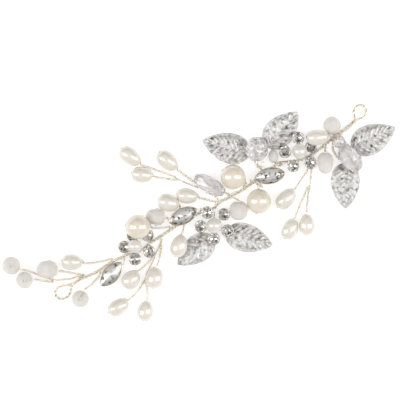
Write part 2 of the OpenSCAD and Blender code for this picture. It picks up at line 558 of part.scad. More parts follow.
// One branch: its twisted stem, and the thread through or round what it holds
module branch(row) {
    i = row[1];
    route = spread_route(row[2]);
    if (row[0] == "rice") {
        threaded_wire(route, rice_at(i), heading(rice_rows[i][2]), rice_len * rice_rows[i][3]);
    } else if (row[0] == "big") {
        threaded_wire(route, big_at(i), heading(big_rows[i][2]), big_pearl_d * big_rows[i][3]);
    } else if (row[0] == "crystal" && i < 3) {
        threaded_wire(route, crystal_at(i), heading(crystal_rows[i][2]), crystal_rows[i][3]);
    } else if (row[0] == "crystal") {
        dir = heading(crystal_rows[i - 1][2]);
        half = crystal_rows[i - 1][3] / 2;
        lead = [for (s = [-half - 0.1, half + 0.1]) crystal_at(i - 1) + dir * s];
        threaded_wire(concat(route, [lead[0] - dir * 0.5]), crystal_at(i), heading(crystal_rows[i][2]),
            crystal_rows[i][3], lead);
    } else if (row[0] == "frosted" && frosted_rows[i][5] == "along") {
        threaded_wire(route, frosted_at(i), frosted_along(i), frosted_len * frosted_rows[i][4]);
    } else if (row[0] == "frosted") {
        r = frosted_rows[i];
        across = frosted_d * r[3];
        stem_end = frosted_at(i) - heading(r[2]) * (across / 2 + core_d + 3 * gap);
        hugging_wire(concat(route, [stem_end]), frosted_at(i), heading(r[2]), frosted_along(i) * r[7], across,
            frosted_len * r[4], frosted_power, round_start);
    } else if (row[0] == "navette") {
        dir = heading(navette_rows[i][2]) * (i == 2 ? 1 : -1);
        threaded_wire(route, navette_at(i) + upright * channel_z, dir, navette_len);
    } else if (row[0] == "leaf") {
        top = leaf_hole(i);
        wire(concat(route, [top + upright * leaf_wire_up, top - upright * leaf_wire_down]), core_d);
    } else {
        wire(route, branch_d * 1.3);
    }
}

module branches(rows) {
    color("wheat") lay() for (row = rows) branch(row);
}

// Knot in the middle of a cluster, with the wires to its rhinestones and its pearl
module cluster_wires() {
    color("wheat") lay() for (c = [0:2]) {
        hub = hub_at(c);
        translate(hub) sphere(d = hub_d, $fn = 24);
        tube([seat(cluster_rows[c][4], spine_z), hub], [branch_d / 2, branch_d / 2], tube_sides);
        for (k = [0:4])
            tube([hub, spoke_from(c, k), spoke_to(c, k)], [for (n = [0:2]) core_d / 2], tube_sides);
        hugging_wire([hub, hub + upright * (hub_d / 2 + gap / 2)], small_at(c), upright,
            heading(cluster_rows[c][3]), small_d(c), small_d(c), 1, round_start + 4);
    }
}

// Turns the vine as drawn so that its length runs along +X, middle over the origin
module lay() {
    rotate([0, 0, -lay_turn]) translate([-mid_x * spread, -mid_y * spread, -gap]) children();
}

for (i = [0:len(rice_rows) - 1])
    rice_pearl(i);
for (i = [0:len(big_rows) - 1])
    big_pearl(i);
for (c = [0:len(cluster_rows) - 1])
    small_pearl(c);
for (i = [0:len(frosted_rows) - 1])
    frosted_bead(i);
for (i = [0:len(crystal_rows) - 1])
    crystal_bead(i);
for (i = [0:len(navette_rows) - 1])
    navette_stone(i);
for (i = [0:len(navette_rows) - 1])
    navette_setting(i);
for (i = [0:len(leaf_rows) - 1])
    leaf(i);
for (c = [0:len(cluster_rows) - 1])
    cluster_stones(c);
for (c = [0:len(cluster_rows) - 1])
    cluster_settings(c);
spine_wire();
branches(far_left_branches);  // far_left_wires
branches(lower_branches);  // lower_wires
branches(upper_branches);  // upper_wires
branches(middle_branches);  // middle_wires
branches(right_branches);  // right_wires
cluster_wires();
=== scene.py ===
# Hair vine lying on a white table: pearls, rhinestones, crystals, frosted beads and stamped leaves,
# wired to both sides of a twisted spine. Routes and sizes are in millimetres as the vine lies before
# the viewer, and layMatrix turns them into the frame's metres.
import math

import bmesh
import bpy
from mathutils import Matrix, Vector, noise


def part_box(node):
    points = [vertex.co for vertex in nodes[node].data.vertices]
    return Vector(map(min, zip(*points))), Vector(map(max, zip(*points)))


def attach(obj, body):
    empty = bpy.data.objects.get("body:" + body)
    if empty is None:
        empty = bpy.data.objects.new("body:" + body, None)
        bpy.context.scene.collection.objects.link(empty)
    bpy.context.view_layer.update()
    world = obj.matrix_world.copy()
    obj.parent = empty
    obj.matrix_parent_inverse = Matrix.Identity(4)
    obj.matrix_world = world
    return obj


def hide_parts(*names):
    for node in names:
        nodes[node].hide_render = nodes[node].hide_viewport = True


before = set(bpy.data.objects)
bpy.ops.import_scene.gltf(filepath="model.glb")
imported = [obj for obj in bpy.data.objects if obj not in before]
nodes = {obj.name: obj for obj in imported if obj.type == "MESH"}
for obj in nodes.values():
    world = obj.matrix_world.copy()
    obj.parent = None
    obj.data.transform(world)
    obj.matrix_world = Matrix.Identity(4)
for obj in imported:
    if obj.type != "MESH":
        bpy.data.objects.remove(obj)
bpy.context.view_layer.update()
print("frame loaded:", len(nodes), "nodes")

layout = {
    "turn": math.radians(-31),        # the vine's length runs along +X in the frame
    "middle": (0.12, -0.18),          # middle of the vine in the photo's own millimetres
    "sink": 0.12,                     # height in the routes that comes to lie on the table
    "metre": 0.001,
}
layRotation = Matrix.Rotation(layout["turn"], 4, "Z")
layMatrix = (Matrix.Scale(layout["metre"], 4) @ layRotation
             @ Matrix.Translation((-layout["middle"][0], -layout["middle"][1], -layout["sink"])))
unlayMatrix = layMatrix.inverted()
upward = Vector((0, 0, 1))

cameraSet = {"distance": 2.2, "viewWidth": 0.160, "sensor": 36.0, "farEnd": 20.0}
softboxes = {               # two long boxes side by side above the table, a gap between them
    "left": {"towards": (-0.72, -0.05, 0.67), "size": (1.60, 0.74), "power": 8.6},
    "right": {"towards": (0.68, -0.02, 0.72), "size": (1.90, 0.74), "power": 10.2},
}
softboxDistance = 1.5
tableHalf = 3.0


def linked(name, data):
    piece = bpy.data.objects.new(name, data)
    bpy.context.scene.collection.objects.link(piece)
    return piece


def addCamera():
    data = bpy.data.cameras.new("cameraAbove")
    data.sensor_width = cameraSet["sensor"]
    data.lens = cameraSet["sensor"] * cameraSet["distance"] / cameraSet["viewWidth"]
    data.clip_end = cameraSet["farEnd"]
    camera = linked("cameraAbove", data)
    middle = layMatrix @ Vector((0, 0, 0))
    camera.location = (middle.x, middle.y, cameraSet["distance"])
    camera.rotation_euler = (0, 0, layout["turn"])
    bpy.context.scene.camera = camera


def addSoftbox(name, box):
    data = bpy.data.lights.new(f"softbox_{name}", "AREA")
    data.shape = "RECTANGLE"
    data.size, data.size_y = box["size"]
    data.energy = box["power"]
    away = Vector(box["towards"]).normalized()
    across = (Vector((1, 0, 0)) - away * away.x).normalized()
    turn = Matrix((across, away.cross(across), away)).transposed().to_4x4()
    light = linked(f"softbox_{name}", data)
    light.matrix_world = layRotation @ Matrix.Translation(away * softboxDistance) @ turn


# A node, its inputs given as values or as the outputs of other nodes
def addNode(tree, kind, inputs=None, **settings):
    node = tree.nodes.new(kind)
    for name, value in settings.items():
        setattr(node, name, value)
    for name, value in (inputs or {}).items():
        if isinstance(value, bpy.types.NodeSocket):
            tree.links.new(value, node.inputs[name])
        else:
            node.inputs[name].default_value = value
    return node


def addRamp(tree, source, stops):
    ramp = addNode(tree, "ShaderNodeValToRGB", {"Fac": source})
    elements = ramp.color_ramp.elements
    while len(elements) > 1:
        elements.remove(elements[-1])
    for i, (place, colour) in enumerate(stops):
        stop = elements[0] if i == 0 else elements.new(place)
        stop.position = place
        stop.color = (*colour, 1)
    return ramp.outputs["Color"]


def rescaled(tree, source, low=0.0, high=1.0, to=(0.0, 1.0)):
    ends = {"Value": source, "From Min": low, "From Max": high, "To Min": to[0], "To Max": to[1]}
    return addNode(tree, "ShaderNodeMapRange", ends).outputs["Result"]


def noiseOn(tree, coords, scale, detail):
    texture = addNode(tree, "ShaderNodeTexNoise", {"Vector": coords, "Scale": scale, "Detail": detail})
    return texture.outputs["Fac"]


# The room round the table: dim behind the vine, brighter before it, with dark gaps between its lights
roomSet = {
    "side": [(0.0, (0.50, 0.49, 0.47)), (0.16, (0.58, 0.57, 0.55)), (0.36, (0.72, 0.71, 0.70)),
             (0.54, (0.67, 0.66, 0.65)), (0.70, (0.63, 0.62, 0.61)), (0.84, (0.55, 0.54, 0.52)),
             (0.93, (0.18, 0.16, 0.14)), (1.0, (0.14, 0.12, 0.10))],
    "gapSize": 2.8, "gapDetail": 1.5, "gapEdge": (0.40, 0.46), "gapDark": 0.05,
    "gapBelow": (0.55, 0.86),      # height where the gaps fade out towards the middle of the ceiling
}


def addWorld():
    world = bpy.data.worlds.new("studio")
    bpy.context.scene.world = world
    world.use_nodes = True
    tree = world.node_tree
    tree.nodes.clear()
    coords = addNode(tree, "ShaderNodeTexCoord").outputs["Generated"]
    turn = addNode(tree, "ShaderNodeMapping", {"Vector": coords, "Rotation": (0, 0, -layout["turn"])})
    turned = turn.outputs["Vector"]
    split = addNode(tree, "ShaderNodeSeparateXYZ", {"Vector": turned})
    side = addRamp(tree, rescaled(tree, split.outputs["Y"], -1.0), roomSet["side"])
    gaps = noiseOn(tree, turned, roomSet["gapSize"], roomSet["gapDetail"])
    shade = rescaled(tree, gaps, *roomSet["gapEdge"], (roomSet["gapDark"], 1.0))
    fade = rescaled(tree, split.outputs["Z"], *roomSet["gapBelow"])
    lighter = addNode(tree, "ShaderNodeMath", {0: shade, 1: fade}, operation="MAXIMUM")
    mix = addNode(tree, "ShaderNodeMix", {"Factor": 1.0, "A": side, "B": lighter.outputs["Value"]},
                  data_type="RGBA", blend_type="MULTIPLY")
    back = addNode(tree, "ShaderNodeBackground", {"Color": mix.outputs["Result"]})
    addNode(tree, "ShaderNodeOutputWorld", {"Surface": back.outputs["Background"]})


def newMaterial(name, settings):
    material = bpy.data.materials.new(name)
    material.use_nodes = True
    tree = material.node_tree
    shader = tree.nodes["Principled BSDF"]
    for socket, value in settings.items():
        shader.inputs[socket].default_value = value
    return material, tree, shader, addNode(tree, "ShaderNodeTexCoord").outputs["Object"]


def tinted(tree, shader, source, tints):
    tree.links.new(addRamp(tree, source, tints), shader.inputs["Base Color"])


def roughened(tree, shader, source, ends):
    tree.links.new(rescaled(tree, source, to=ends), shader.inputs["Roughness"])


def bumped(tree, shader, source, depth, strength):
    bump = addNode(tree, "ShaderNodeBump", {"Height": source, "Strength": strength, "Distance": depth})
    tree.links.new(bump.outputs["Normal"], shader.inputs["Normal"])


# A material tinted and roughened by one noise, and bumped by that noise or by a finer one
def surface(name, settings, scale, tints, rough=None, bump=None, detail=2.0):
    material, tree, shader, coords = newMaterial(name, settings)
    clouds = noiseOn(tree, coords, scale, detail)
    tinted(tree, shader, clouds, tints)
    if rough:
        roughened(tree, shader, clouds, rough)
    if bump:
        grain = noiseOn(tree, coords, bump["scale"], bump["detail"]) if "scale" in bump else clouds
        bumped(tree, shader, grain, bump["depth"], bump["strength"])
    return material


def nacre(name, light, deep):
    shine = {"Specular IOR Level": 0.2, "Coat Weight": 1.0, "Coat Roughness": 0.02, "Coat IOR": 2.3,
             "Coat Tint": (1, 0.98, 0.94, 1)}
    return surface(name, shine, 260, [(0.25, deep), (0.75, light)], rough=(0.26, 0.36),
                   bump={"scale": 2600, "detail": 1.0, "depth": 0.00001, "strength": 0.4})


# Foil behind a stone, its colour a noise of near-black specks, tan and white: painted dark reflections and
# painted glints of the stone's facets
def paintedSparkleFoil(name, paintedSpecks, rough, scale, metallic):
    tints = [(paintedSpecks, (0.05, 0.045, 0.04)), (paintedSpecks + 0.07, (0.72, 0.67, 0.58)), (paintedSpecks + 0.14, (1, 1, 1))]
    return surface(name, {"Metallic": metallic}, scale, tints, rough)


def castMetal(name, dark, light, rough):
    return surface(name, {"Metallic": 1.0}, 900, [(0.3, dark), (0.65, light)], rough, detail=3.0,
                   bump={"depth": 0.00003, "strength": 0.35})


# Net pressed into the leaves' silver, as cells a metre, and how wide and dark its lines are
stampSet = {
    "net": 1900, "lineWidth": 0.22, "lineShade": 0.72, "netDepth": 0.00013,
    # the wear noise sets the roughness and, through the tints, near-black specks: real wear in the roughness,
    # painted dark reflections in the colour
    "paintedSpecksAndWear": 620, "paintedSpecksAndWearDetail": 3.0, "rough": (0.28, 0.50),
    "tints": [(0.27, (0.12, 0.11, 0.09)), (0.34, (0.48, 0.47, 0.455)), (0.47, (0.65, 0.64, 0.63)),
              (0.58, (0.82, 0.80, 0.76))],
}


def stampedSilver():
    material, tree, shader, coords = newMaterial("stampedSilver", {"Metallic": 1.0})
    net = addNode(tree, "ShaderNodeTexVoronoi", {"Vector": coords, "Scale": stampSet["net"]},
                  feature="DISTANCE_TO_EDGE").outputs["Distance"]
    lines = rescaled(tree, net, 0.0, stampSet["lineWidth"], (stampSet["lineShade"], 1.0))
    # one noise for both: real wear in the roughness, and painted dark reflections as near-black specks in the
    # colour
    paintedSpecksAndWear = noiseOn(tree, coords, stampSet["paintedSpecksAndWear"], stampSet["paintedSpecksAndWearDetail"])
    marked = addNode(tree, "ShaderNodeMath", {0: lines, 1: paintedSpecksAndWear}, operation="MULTIPLY")
    tinted(tree, shader, marked.outputs["Value"], stampSet["tints"])
    roughened(tree, shader, paintedSpecksAndWear, stampSet["rough"])
    bumped(tree, shader, net, stampSet["netDepth"], 1.0)
    return material


materials = {
    "pearl": nacre("pearlNacre", (0.875, 0.85, 0.815), (0.825, 0.785, 0.725)),
    "cream": nacre("creamNacre", (0.88, 0.83, 0.74), (0.83, 0.765, 0.65)),
    "small": nacre("smallNacre", (0.82, 0.81, 0.80), (0.78, 0.755, 0.73)),
    "frosted": surface("frostedGlass", {"IOR": 1.45, "Subsurface Weight": 1.0, "Subsurface Scale": 0.005,
                                        "Subsurface Radius": (1, 1, 1), "Specular IOR Level": 0.3},
                       420, [(0.3, (0.70, 0.665, 0.63)), (0.7, (0.76, 0.73, 0.70))], rough=(0.62, 0.78),
                       bump={"scale": 5200, "detail": 3.0, "depth": 0.00004, "strength": 0.5}),
    "crystal": surface("clearCrystal", {"Transmission Weight": 0.68, "IOR": 1.54, "Coat Weight": 1.0,
                                        "Coat Roughness": 0.01, "Coat IOR": 1.8},
                       300, [(0.3, (0.86, 0.835, 0.825)), (0.7, (0.95, 0.93, 0.92))], rough=(0.01, 0.07)),
    "cutGlass": surface("cutGlass", {"Transmission Weight": 1.0, "IOR": 1.48},
                        500, [(0.3, (0.97, 0.97, 0.98)), (0.7, (1, 1, 1))], rough=(0.0, 0.02)),
    # foils whose colour holds painted dark reflections and painted glints
    "foil": paintedSparkleFoil("rhinestoneFoil", 0.36, (0.03, 0.12), 1500, 1.0),
    "paleFoil": paintedSparkleFoil("navetteFoil", 0.35, (0.10, 0.26), 620, 0.6),
    "silver": castMetal("settingSilver", (0.42, 0.40, 0.37), (0.80, 0.79, 0.77), (0.16, 0.28)),
    "paleGold": castMetal("settingGold", (0.62, 0.55, 0.44), (0.90, 0.86, 0.78), (0.16, 0.30)),
    "wire": surface("champagneWire", {"Metallic": 1.0}, 2100,
                    [(0.36, (0.64, 0.54, 0.41)), (0.48, (0.95, 0.885, 0.78)), (0.56, (1.0, 0.965, 0.90))],
                    rough=(0.20, 0.32), bump={"depth": 0.00003, "strength": 0.3}),
    "leaf": stampedSilver(),
}


def addTable():
    half = tableHalf
    mesh = bpy.data.meshes.new("table")
    corners = [(-half, -half, 0), (half, -half, 0), (half, half, 0), (-half, half, 0)]
    mesh.from_pydata(corners, [], [(0, 1, 2, 3)])
    mesh.materials.append(surface("paleTable", {"Roughness": 0.9, "Specular IOR Level": 0.0,
                                                "Emission Color": (1, 1, 1, 1), "Emission Strength": 0.62},
                                  900, [(0.3, (0.52, 0.52, 0.52)), (0.7, (0.55, 0.55, 0.55))]))
    table = linked("table", mesh)


addCamera()
for name, box in softboxes.items():
    addSoftbox(name, box)
addWorld()
addTable()
bpy.context.scene.view_settings.view_transform = "Standard"
print("camera, light, table and", len(materials), "materials are set")


def meshFrom(name, points, faces, material, smooth=False, place=None):
    mesh = bpy.data.meshes.new(name)
    toFrame = layMatrix @ (place or Matrix.Identity(4))
    mesh.from_pydata([toFrame @ Vector(p) for p in points], [], faces)
    mesh.materials.append(material)
    mesh.polygons.foreach_set("use_smooth", [smooth] * len(mesh.polygons))
    return mesh


def outward(mesh):
    shape = bmesh.new()
    shape.from_mesh(mesh)
    bmesh.ops.recalc_face_normals(shape, faces=shape.faces)
    shape.to_mesh(mesh)
    shape.free()
    return mesh


def joined(name, meshes):
    palette = []
    for material in (material for mesh in meshes for material in mesh.materials):
        if material not in palette:
            palette.append(material)
    shape = bmesh.new()
    for mesh in meshes:
        numbers = [palette.index(m) for m in mesh.materials]
        first = len(shape.faces)
        shape.from_mesh(mesh)
        shape.faces.ensure_lookup_table()
        for face in shape.faces[first:]:
            face.material_index = numbers[face.material_index]
    whole = bpy.data.meshes.new(name)
    shape.to_mesh(whole)
    shape.free()
    for material in palette:
        whole.materials.append(material)
    return whole


# The plain mesh that an object's modifiers make, which takes the object's place
def plainMesh(holder):
    bpy.context.view_layer.update()
    graph = bpy.context.evaluated_depsgraph_get()
    mesh = bpy.data.meshes.new_from_object(holder.evaluated_get(graph))
    bpy.data.objects.remove(holder)
    return mesh


def standIn(name, mesh, node):
    piece = linked(name, mesh)
    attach(piece, "root")
    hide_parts(node)


def circle(radius, sides, z=0.0):
    return [(radius * math.cos(math.tau * k / sides), radius * math.sin(math.tau * k / sides), z)
            for k in range(sides)]


# Faces between rings of points, each ring to the next one and, where they close, the last to the first
def ringFaces(rings, sides, closed=True):
    faces = []
    for i in range(rings if closed else rings - 1):
        here, there = i * sides, (i + 1) % rings * sides
        for k in range(sides):
            n = (k + 1) % sides
            faces.append((here + k, here + n, there + n, there + k))
    return faces


def cappedFaces(rings, sides):
    last = (rings - 1) * sides
    caps = [tuple(range(sides - 1, -1, -1)), tuple(range(last, last + sides))]
    return ringFaces(rings, sides, False) + caps


def latheMesh(name, profile, sides, material, place):
    points = [point for r, z in profile for point in circle(r, sides, z)]
    return meshFrom(name, points, ringFaces(len(profile), sides), material, True, place)


def headed(degrees):
    return Vector((math.cos(math.radians(degrees)), math.sin(math.radians(degrees)), 0))


# Where a solid's middle lies, and what it measures along an axis and across it
def measured(node, axis):
    points = [unlayMatrix @ v.co for v in nodes[node].data.vertices]
    low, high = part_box(node)
    middle = unlayMatrix @ ((low + high) / 2)
    along = [(p - middle).dot(axis) for p in points]
    side = Vector((1, 0, 0)) if axis.z else axis.cross(upward)
    across = [(p - middle).dot(side) for p in points]
    return {"middle": middle, "axis": axis, "length": max(along) - min(along),
            "across": max(across) - min(across)}


# Heading of each bead's hole, away from where its wire starts
beadHeadings = {
    "rice_pearl": [142, 137, 172, 172, 162, 177, 254, 230, 262, 215, 260, 228, 245, 272, 185],
    "big_pearl": [176, 154, 262],
    "small_pearl": [350, 10, 280],
    "frosted_bead": [159, 185, 174, 246, 176, 272, 135, 270, 94],
    "crystal_bead": [152, 90, 303, 307],
}
# How each frosted bead's hole lies: upright, across its wire, or along it. One has wire on one side only.
frostedWays = ["up", "up", "across", "up", "across", "across", "across", "across", "along"]
oneSided = [7]


def beadWay(kind, number):
    return frostedWays[number - 1] if kind == "frosted_bead" else "along"


def beadAxis(kind, number):
    way = beadWay(kind, number)
    if way == "up":
        return upward
    return headed(beadHeadings[kind][number - 1] + (90 if way == "across" else 0))


# Stamped leaf: an arched sheet with a raised midrib, leaning side veins, a netted skin and a rolled rim
leafSet = {
    "length": 19.0, "width": 11.5, "thickness": 0.5, "arch": 0.9, "crease": 0.3,
    "edgeHeight": 0.37,            # middle of the sheet at the rim, above the table
    "stepsAlong": 120, "stepsAcross": 52, "ends": (0.006, 0.994),
    "fades": (8, 6),               # how fast the relief rises at the stalk and falls at the tip
    "veins": 10, "veinLean": 0.24, "veinHeight": 0.21, "veinsTo": (0.55, 0.80), "veinStart": 0.5,
    "ribHeight": 0.12, "ribWidth": 0.36,
    "netSize": 0.42, "netHeight": 0.042, "netSlope": 2.2, "netShift": 7.3,
    "dentHeight": 0.22, "dentSize": 1.1, "dentsFrom": 0.80,
    "rimHeight": 0.13, "rimWidth": 0.45,
    "holeAt": 3.8, "holeWidth": 1.2, "drillSides": 24,
    "eyeletWire": 0.16, "eyeletGap": 0.12, "eyeletDrop": 0.18, "eyeletSides": 8, "eyeletTurns": 28,
    "wireRise": 0.45,              # from the middle of the sheet's rim up to the wire in the hole
}
# The six leaves: stalk end, heading, pitch, sideways bend, and shares of the length and of the width
leafRows = [
    ((19.8, 18.4), 164, 1, 0, 1.03, 1.05), ((27.2, 21.0), 55, 3, -1.5, 0.98, 1.03),
    ((60.9, 20.4), 28, 2, -0.4, 1.01, 1.04), ((58.0, 14.8), 271, 2, 0, 0.97, 1.00),
    ((10.3, -12.8), 344, 2, 0, 1.03, 0.98), ((5.2, -14.8), 218, 2, 0, 0.95, 0.95),
]

wireSet = {
    "strand": 0.22,          # radius of one strand of a branch
    "coil": 0.30,            # distance of a strand from the middle of its branch
    "branchPitch": 2.3,      # length of one full turn of a branch
    "spineStrand": 0.33,
    "spinePitch": 2.8,
    "binding": 0.14,         # radius of the fine wire that binds the spine
    "tiePitch": 0.42,        # length of one turn of that wire where a branch is tied on
    "loopStrand": 0.29,
    "single": 0.20,          # radius of a wire that runs alone
    "thread": 0.16,          # radius of the wire inside a bead
    "knotCoil": 0.22,
    "knotPitch": 2.6,
    "stemGap": 0.6,          # from the end of a branch to its bead's hole
    "sideGap": 0.75,         # and to a bead that the wire goes round
    "clear": 0.05,           # between a bead and the wire along it
    "sideClear": 0.08,
    "backTurn": 50,          # how far from straight below a bead its wire runs back
    "backBulge": 0.85,       # shape of the wire round a bead: 1 is an oval, less is fuller
    "riceBulge": 0.72,
    "frostedBulge": 0.8,
    "step": 0.16,            # distance between rings of a strand
    "sides": 6,
    "rootReach": 4.0,        # how far a branch may start from the wire that it leaves
}
spineHeight = 1.2

# Routes of the wires: the spine from the left eyelet to the right one, then the branches
leftLoopRoute = [
    (-51.5, -35.4, 1.0), (-52.2, -37.6, 0.8), (-53.7, -39.0, 0.8), (-55.8, -39.5, 0.8), (-57.5, -38.4, 0.8),
    (-57.9, -36.6, 0.8), (-56.7, -34.9, 0.8), (-54.1, -34.1, 0.9), (-51.9, -33.9, 1.1),
]
spineRoute = [(x, y, spineHeight) for x, y in [
    (-50.3, -33.3), (-47.8, -31.6), (-43.8, -30.0), (-39.7, -27.7), (-34.4, -24.4), (-28.4, -21.6),
    (-23.4, -20.0), (-19.8, -17.1), (-15.7, -14.6), (-11.6, -11.8), (-6.8, -8.8), (-0.6, -5.4),
    (5.3, -3.5), (7.7, -0.8), (12.0, 1.2), (17.7, 4.5), (21.6, 7.4), (26.0, 10.8),
    (31.0, 14.5), (35.3, 15.3), (40.4, 16.1), (45.1, 18.4), (49.6, 21.8), (54.7, 26.2),
    (57.6, 27.9), (61.0, 30.6),
]]
rightLoopRoute = [
    (62.3, 32.2, 1.1), (61.4, 34.0, 0.9), (61.5, 36.0, 0.8), (62.8, 37.7, 0.8), (64.7, 37.9, 0.8),
    (66.1, 36.6, 0.8), (66.2, 34.6, 0.8), (65.1, 33.0, 0.8), (63.5, 32.4, 0.8),
]
loopEnds = {"left": (-51.0, -34.1, 1.1), "right": (62.3, 31.9, 1.1)}
# Each branch: what it holds, which one, then the points up to it
branchRoutes = {
    "far_left_wires": [
        ("frosted_bead", 1, [
            (-48.2, -30.3, 2.2), (-51.4, -31.4, 1.6), (-54.9, -31.8, 1.2), (-57.8, -32.1, 1.1),
            (-60.4, -31.4, 1.0), (-62.8, -30.8, 1.1), (-65.7, -29.5, 1.6), (-68.7, -28.3, 2.9)]),
        ("frosted_bead", 2, [(-58.8, -32.9, 1.1), (-61.2, -32.6, 1.5), (-64.0, -32.1, 2.6)]),
        ("frosted_bead", 3, [(-46.6, -29.9, 1.3), (-49.7, -29.4, 1.5), (-53.4, -28.8, 2.8)]),
        ("frosted_bead", 4, [
            (-39.8, -29.0, 1.2), (-40.8, -30.8, 1.2), (-42.9, -33.2, 1.6), (-45.0, -35.1, 2.9)]),
        ("rice_pearl", 6, [
            (-35.4, -23.6, 1.3), (-38.6, -24.3, 1.4), (-41.7, -25.0, 1.9), (-44.6, -25.3, 2.8)]),
        ("navette_setting", 1, [(-30.3, -23.7, 1.3), (-30.2, -23.9, 2.2)]),
    ],
    "lower_wires": [
        ("rice_pearl", 10, [
            (-15.4, -16.0, 1.2), (-16.2, -18.4, 1.0), (-17.6, -21.1, 0.9), (-18.8, -24.2, 0.9),
            (-20.0, -26.8, 0.9), (-21.2, -29.0, 0.9), (-21.6, -31.0, 0.9), (-22.6, -32.9, 1.0),
            (-24.9, -36.4, 1.6), (-27.6, -39.1, 2.7)]),
        ("rice_pearl", 11, [(-21.6, -33.2, 1.0), (-21.0, -36.4, 1.4), (-20.9, -38.8, 2.5)]),
        ("rice_pearl", 9, [
            (-15.5, -18.0, 1.3), (-15.8, -21.2, 1.5), (-16.3, -23.8, 2.2), (-17.0, -25.8, 3.1)]),
        ("rice_pearl", 8, [(-19.1, -23.1, 1.3), (-21.0, -25.2, 1.6), (-23.2, -27.2, 2.7)]),
    ],
    "upper_wires": [
        ("knot", 0, [
            (7.2, 0.3, 1.3), (6.0, 1.5, 1.2), (4.0, 2.5, 1.0), (1.8, 3.7, 0.9), (-0.5, 5.0, 1.0),
            (-3.3, 6.0, 1.2), (-6.3, 7.2, 1.3), (-9.2, 8.3, 1.3)]),
        ("rice_pearl", 1, [(-9.9, 9.2, 1.3), (-14.0, 10.8, 1.5), (-18.6, 12.3, 1.9), (-22.2, 13.6, 2.9)]),
        ("rice_pearl", 3, [(-10.2, 8.1, 1.3), (-13.0, 8.4, 1.6), (-16.6, 9.0, 2.7)]),
        ("rice_pearl", 2, [(-0.8, 6.2, 1.2), (-3.6, 8.0, 1.5), (-6.3, 10.0, 2.2), (-8.4, 11.6, 3.0)]),
        ("rice_pearl", 4, [(6.2, -0.7, 1.3), (3.4, -0.1, 1.5), (0.8, 0.6, 2.5)]),
        ("crystal_bead", 1, [(11.2, 2.1, 1.3), (11.5, 2.4, 2.4)]),
    ],
    "middle_wires": [
        ("navette_setting", 2, [(0.3, -3.9, 1.3), (0.4, -3.5, 2.0)]),
        ("big_pearl", 1, [(-12.5, -10.7, 1.3), (-14.6, -11.1, 3.4), (-17.2, -11.2, 6.2)]),
        ("frosted_bead", 5, [(-10.9, -10.0, 1.2), (-12.0, -8.4, 1.3), (-12.8, -7.6, 1.6)]),
        ("rice_pearl", 5, [(-8.2, -8.0, 1.2), (-8.5, -5.6, 1.2), (-8.4, -3.4, 1.35), (-8.0, -2.4, 2.0)]),
        ("rice_pearl", 7, [(-6.3, -10.0, 1.2), (-6.8, -12.0, 2.2), (-7.0, -13.2, 3.4)]),
        ("big_pearl", 2, [(17.3, 5.9, 1.4), (17.9, 6.3, 3.2), (18.3, 6.6, 5.0)]),
        ("frosted_bead", 6, [(13.6, 0.8, 2.2), (14.2, 0.6, 3.6)]),
        ("big_pearl", 3, [(22.9, 6.3, 1.3), (24.1, 5.7, 3.0)]),
        ("navette_setting", 3, [(20.2, 7.8, 1.3), (20.3, 8.1, 2.0)]),
        ("crystal_bead", 2, [(24.7, 11.5, 1.3), (24.3, 12.8, 1.6), (23.1, 13.9, 3.0)]),
        ("frosted_bead", 9, [(31.8, 13.6, 1.5), (31.3, 14.1, 2.9)]),
        ("leaf", 1, [(23.3, 13.0, 1.2), (22.5, 14.4, 1.0), (20.9, 16.7, 0.62), (18.6, 18.2, 0.34)]),
        ("leaf", 5, [(6.4, -10.6, 1.9), (9.2, -11.9, 0.7), (12.0, -13.0, 0.34)]),
        ("leaf", 6, [(5.4, -10.9, 1.9), (4.9, -13.4, 0.7), (3.8, -15.8, 0.34)]),
        ("leaf", 2, [(30.3, 15.2, 1.1), (29.3, 17.6, 0.7), (28.8, 20.2, 0.62), (29.0, 22.6, 0.34)]),
    ],
    "right_wires": [
        ("rice_pearl", 12, [(43.4, 16.0, 1.2), (42.9, 12.0, 1.3), (40.6, 8.4, 1.8), (38.6, 5.4, 2.8)]),
        ("rice_pearl", 14, [
            (45.2, 16.9, 1.2), (44.5, 11.8, 1.2), (44.2, 8.4, 1.2), (43.6, 4.4, 1.3), (43.0, -0.4, 1.8),
            (42.6, -4.0, 2.9)]),
        ("rice_pearl", 13, [(42.9, 5.0, 1.3), (41.2, 0.6, 1.4), (39.3, -3.6, 1.9), (38.2, -6.2, 2.8)]),
        ("frosted_bead", 8, [(50.2, 20.9, 1.3), (50.0, 20.3, 2.8)]),
        ("frosted_bead", 7, [(56.1, 27.1, 2.35)]),
        ("rice_pearl", 15, [(52.3, 25.4, 1.4), (52.9, 25.5, 3.4), (52.7, 25.5, 5.2)]),
        ("crystal_bead", 4, [(54.0, 25.7, 2.3), (53.8, 25.9, 3.9)]),
        ("leaf", 3, [(55.9, 25.5, 1.2), (57.7, 23.3, 1.2), (60.2, 21.0, 0.7), (63.6, 21.8, 0.34)]),
        ("leaf", 4, [
            (53.2, 24.1, 1.2), (53.1, 21.5, 1.3), (53.6, 19.2, 1.3), (55.2, 17.0, 1.0), (57.2, 15.2, 0.62),
            (57.9, 12.4, 0.34)]),
    ],
}

